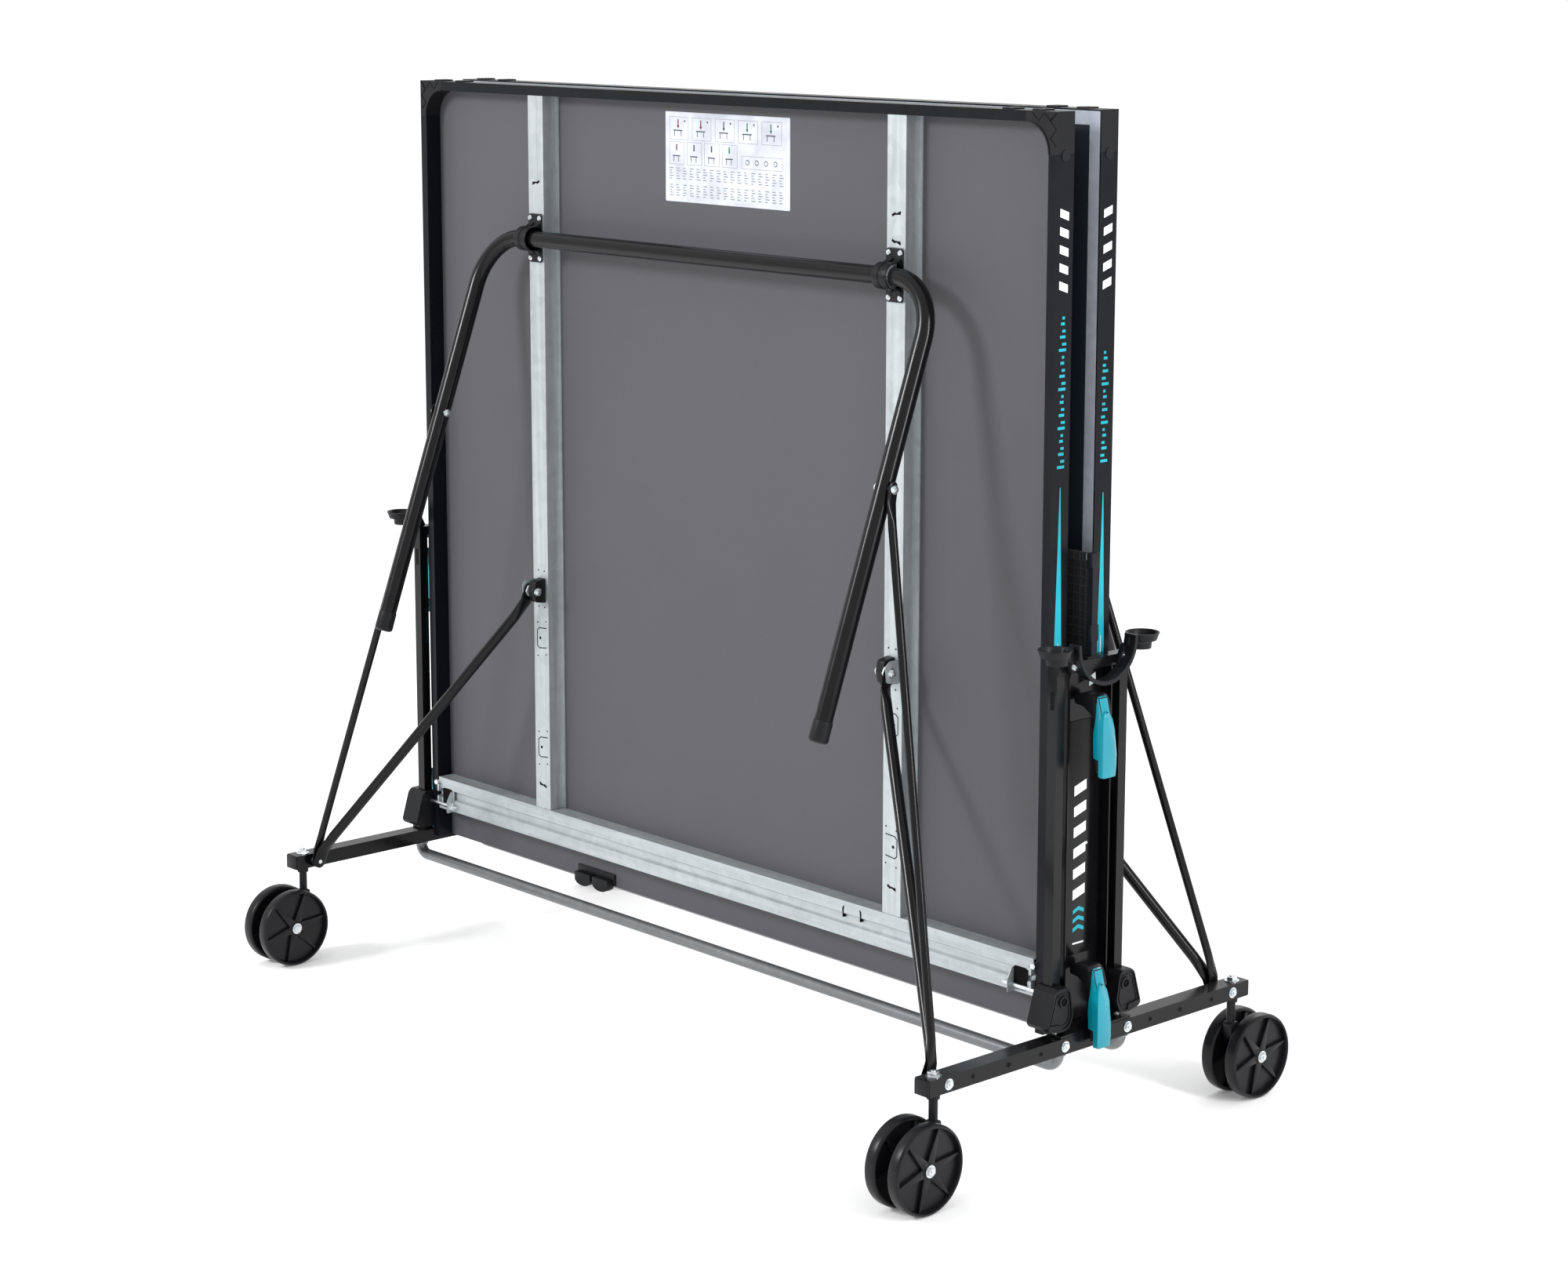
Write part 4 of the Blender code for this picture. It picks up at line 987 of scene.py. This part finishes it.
def make_net():
    """Stretched net with its tapes, and the clips that hold it."""
    low, high = NET
    cloth = Build()
    cols, rows = 96, 10
    grid = []
    for j in range(rows + 1):
        z = low.z + 0.001 + (high.z - low.z - 0.002) * j / rows
        line = []
        for i in range(cols + 1):
            x = low.x + (high.x - low.x) * i / cols
            line.append(cloth.bm.verts.new((x, 0.00025 * math.sin(i * 0.9) * math.sin(j * 1.3), z)))
        grid.append(line)
    faces = []
    for j in range(rows):
        for i in range(cols):
            near, far = grid[j], grid[j + 1]
            faces.append(cloth.bm.faces.new((near[i], near[i + 1], far[i + 1], far[i])))
    cloth.mark(faces, NETTING, True)
    net = cloth.place("net_cloth", "chassis", "net_mesh", 1, 1, ("net",))
    tape = Build()
    tape.box((low.x, -0.0016, high.z - 0.013), (high.x, 0.0016, high.z), NETTING, 0.0010)
    tape.box((low.x, -0.0010, low.z), (high.x, 0.0010, low.z + 0.003), NETTING, 0.0006)
    for sx in (-1, 1):
        tape.box((sx * (high.x - 0.014), -0.0013, low.z), (sx * high.x, 0.0013, high.z), NETTING, 0.0008)
    band = tape.place("net_tape", "chassis", "net_mesh", 1, 1)
    for hand, sx in HANDS:
        clip = Build()
        x = high.x
        clip.box((x - 0.001, -0.0085, high.z - 0.020), (x + 0.0105, 0.0085, high.z + 0.0012), PLASTIC, 0.001)
        clip.box((x - 0.004, -0.0070, high.z - 0.010), (x + 0.001, -0.0030, high.z + 0.0005), ZINC, 0.0004)
        clip.box((x + 0.0005, -0.0078, low.z + 0.020), (x + 0.0105, 0.0078, low.z + 0.045), PLASTIC, 0.001)
        clip.place(f"net_clip_{hand}", "chassis", "black_plastic", sx, 1)


# ---- put everything together ---------------------------------------------------
for tag, sy in HALVES:
    keep(f"{tag}_board", LACQUER, 0.0010)
    keep(f"{tag}_apron_end", SATIN, 0.0006)
    keep(f"{tag}_cross_rail", RAILZINC, 0.0006)
    board_edge(tag, sy)
    make_leg(tag, sy)
    make_tie(tag, sy)
    for hand, sx in HANDS:
        keep(f"{tag}_apron_{hand}", SATIN, 0.0006)
        keep(f"{tag}_corner_{hand}", PLASTIC, 0.0006)
        keep(f"{tag}_rib_{hand}", ZINC, 0.0005)
        keep(f"{tag}_shoe_{hand}", PLASTIC, 0.0016)
        for make in (apron_print, corner_trim, corner_fillet, rib_trim, rail_trim, shoe_cover, beam_trim,
                     make_fork):
            make(tag, sy, hand, sx)
        for side in ("inner", "outer"):
            make_wheel(tag, sy, hand, sx, side)
        make_bar(tag, sy, hand, sx, "support_strut", (STRUT[1].x - PLATE, FOOT_Y, FOOT_Z),
                 (STRUT[0].x + PLATE, STRUT_PIN.y, STRUT_PIN.z), 0.009, f"{tag}_struts")
        make_bar(tag, sy, hand, sx, "leg_link", (LINK[1].x - PLATE, FOOT_Y, FOOT_Z),
                 (LINK[0].x + PLATE, LINK_PIN.y, LINK_PIN.z), 0.0065, f"{tag}_links")
for hand, sx in HANDS:
    keep(f"base_beam_{hand}", GLOSS, 0.0022)
    keep(f"upright_{hand}", GLOSS, 0.0010)
    keep(f"net_post_{hand}", PLASTIC, 0.0008)
    upright_trim(hand, sx)
    make_holder(hand, sx)
    for level in ("low", "high"):
        make_grip(level, hand, sx)
make_net()
make_label()

# ---- stage, light and camera ------------------------------------------------------
plain = bpy.data.materials.new("studio_floor")
plain.use_nodes = True
FLOOR_LOOK = {"Base Color": (0.93, 0.93, 0.93, 1.0), "Specular IOR Level": 0.0,
              "Emission Color": (1.0, 1.0, 1.0, 1.0), "Emission Strength": 0.10, "Roughness": 0.9}
for socket, value in FLOOR_LOOK.items():
    plain.node_tree.nodes["Principled BSDF"].inputs[socket].default_value = value
mesh = bpy.data.meshes.new("studio_floor")
size = 40.0
mesh.from_pydata([(-size, -size, -0.0005), (size, -size, -0.0005), (size, size, -0.0005),
                  (-size, size, -0.0005)], [], [(0, 1, 2, 3)])
mesh.materials.append(plain)
floor = bpy.data.objects.new("studio_floor", mesh)
bpy.context.scene.collection.objects.link(floor)

world = bpy.data.worlds.new("studio")
bpy.context.scene.world = world
world.use_nodes = True
sky = world.node_tree.nodes["Background"]
sky.inputs["Color"].default_value = (1.0, 1.0, 1.0, 1.0)
sky.inputs["Strength"].default_value = 1.0
bpy.context.scene.view_settings.view_transform = "Standard"


def area(name, place, target, width, height, power):
    lamp = bpy.data.lights.new(name, "AREA")
    lamp.shape = "RECTANGLE"
    lamp.size, lamp.size_y = width, height
    lamp.energy = power
    obj = bpy.data.objects.new(name, lamp)
    obj.location = place
    ray = Vector(target) - Vector(place)
    obj.rotation_mode = "QUATERNION"
    obj.rotation_quaternion = ray.to_track_quat("-Z", "Y")
    bpy.context.scene.collection.objects.link(obj)


area("key_light", (-2.0, -4.6, 3.6), (0, 0, 0.8), 1.2, 1.2, 200.0)
area("side_light", (4.6, 0.4, 2.6), (0.4, 0, 0.8), 0.5, 3.0, 130.0)
area("back_light", (-1.0, 4.4, 3.4), (0, 0, 0.8), 3.0, 1.5, 60.0)

EYE = (3.965, -3.516, 1.777)
YAW, PITCH, ROLL = 0.831, -0.180, 0.0013     # radians
LENS_MM = 75.24
SHIFT_X, SHIFT_Y = 0.001, -0.059
ahead = Vector((-math.sin(YAW) * math.cos(PITCH), math.cos(YAW) * math.cos(PITCH), math.sin(PITCH)))
right = Vector((math.cos(YAW), math.sin(YAW), 0.0))
above = right.cross(ahead)
tilt_r = right * math.cos(ROLL) + above * math.sin(ROLL)
tilt_u = above * math.cos(ROLL) - right * math.sin(ROLL)
lens = bpy.data.cameras.new("camera")
lens.sensor_width = 36.0
lens.lens = LENS_MM
lens.shift_x = SHIFT_X
lens.shift_y = SHIFT_Y
lens.clip_end = 200.0
camera = bpy.data.objects.new("camera", lens)
turn = Matrix((tilt_r, tilt_u, -ahead)).transposed().to_4x4()
camera.matrix_world = Matrix.Translation(EYE) @ turn
bpy.context.scene.collection.objects.link(camera)
bpy.context.scene.camera = camera
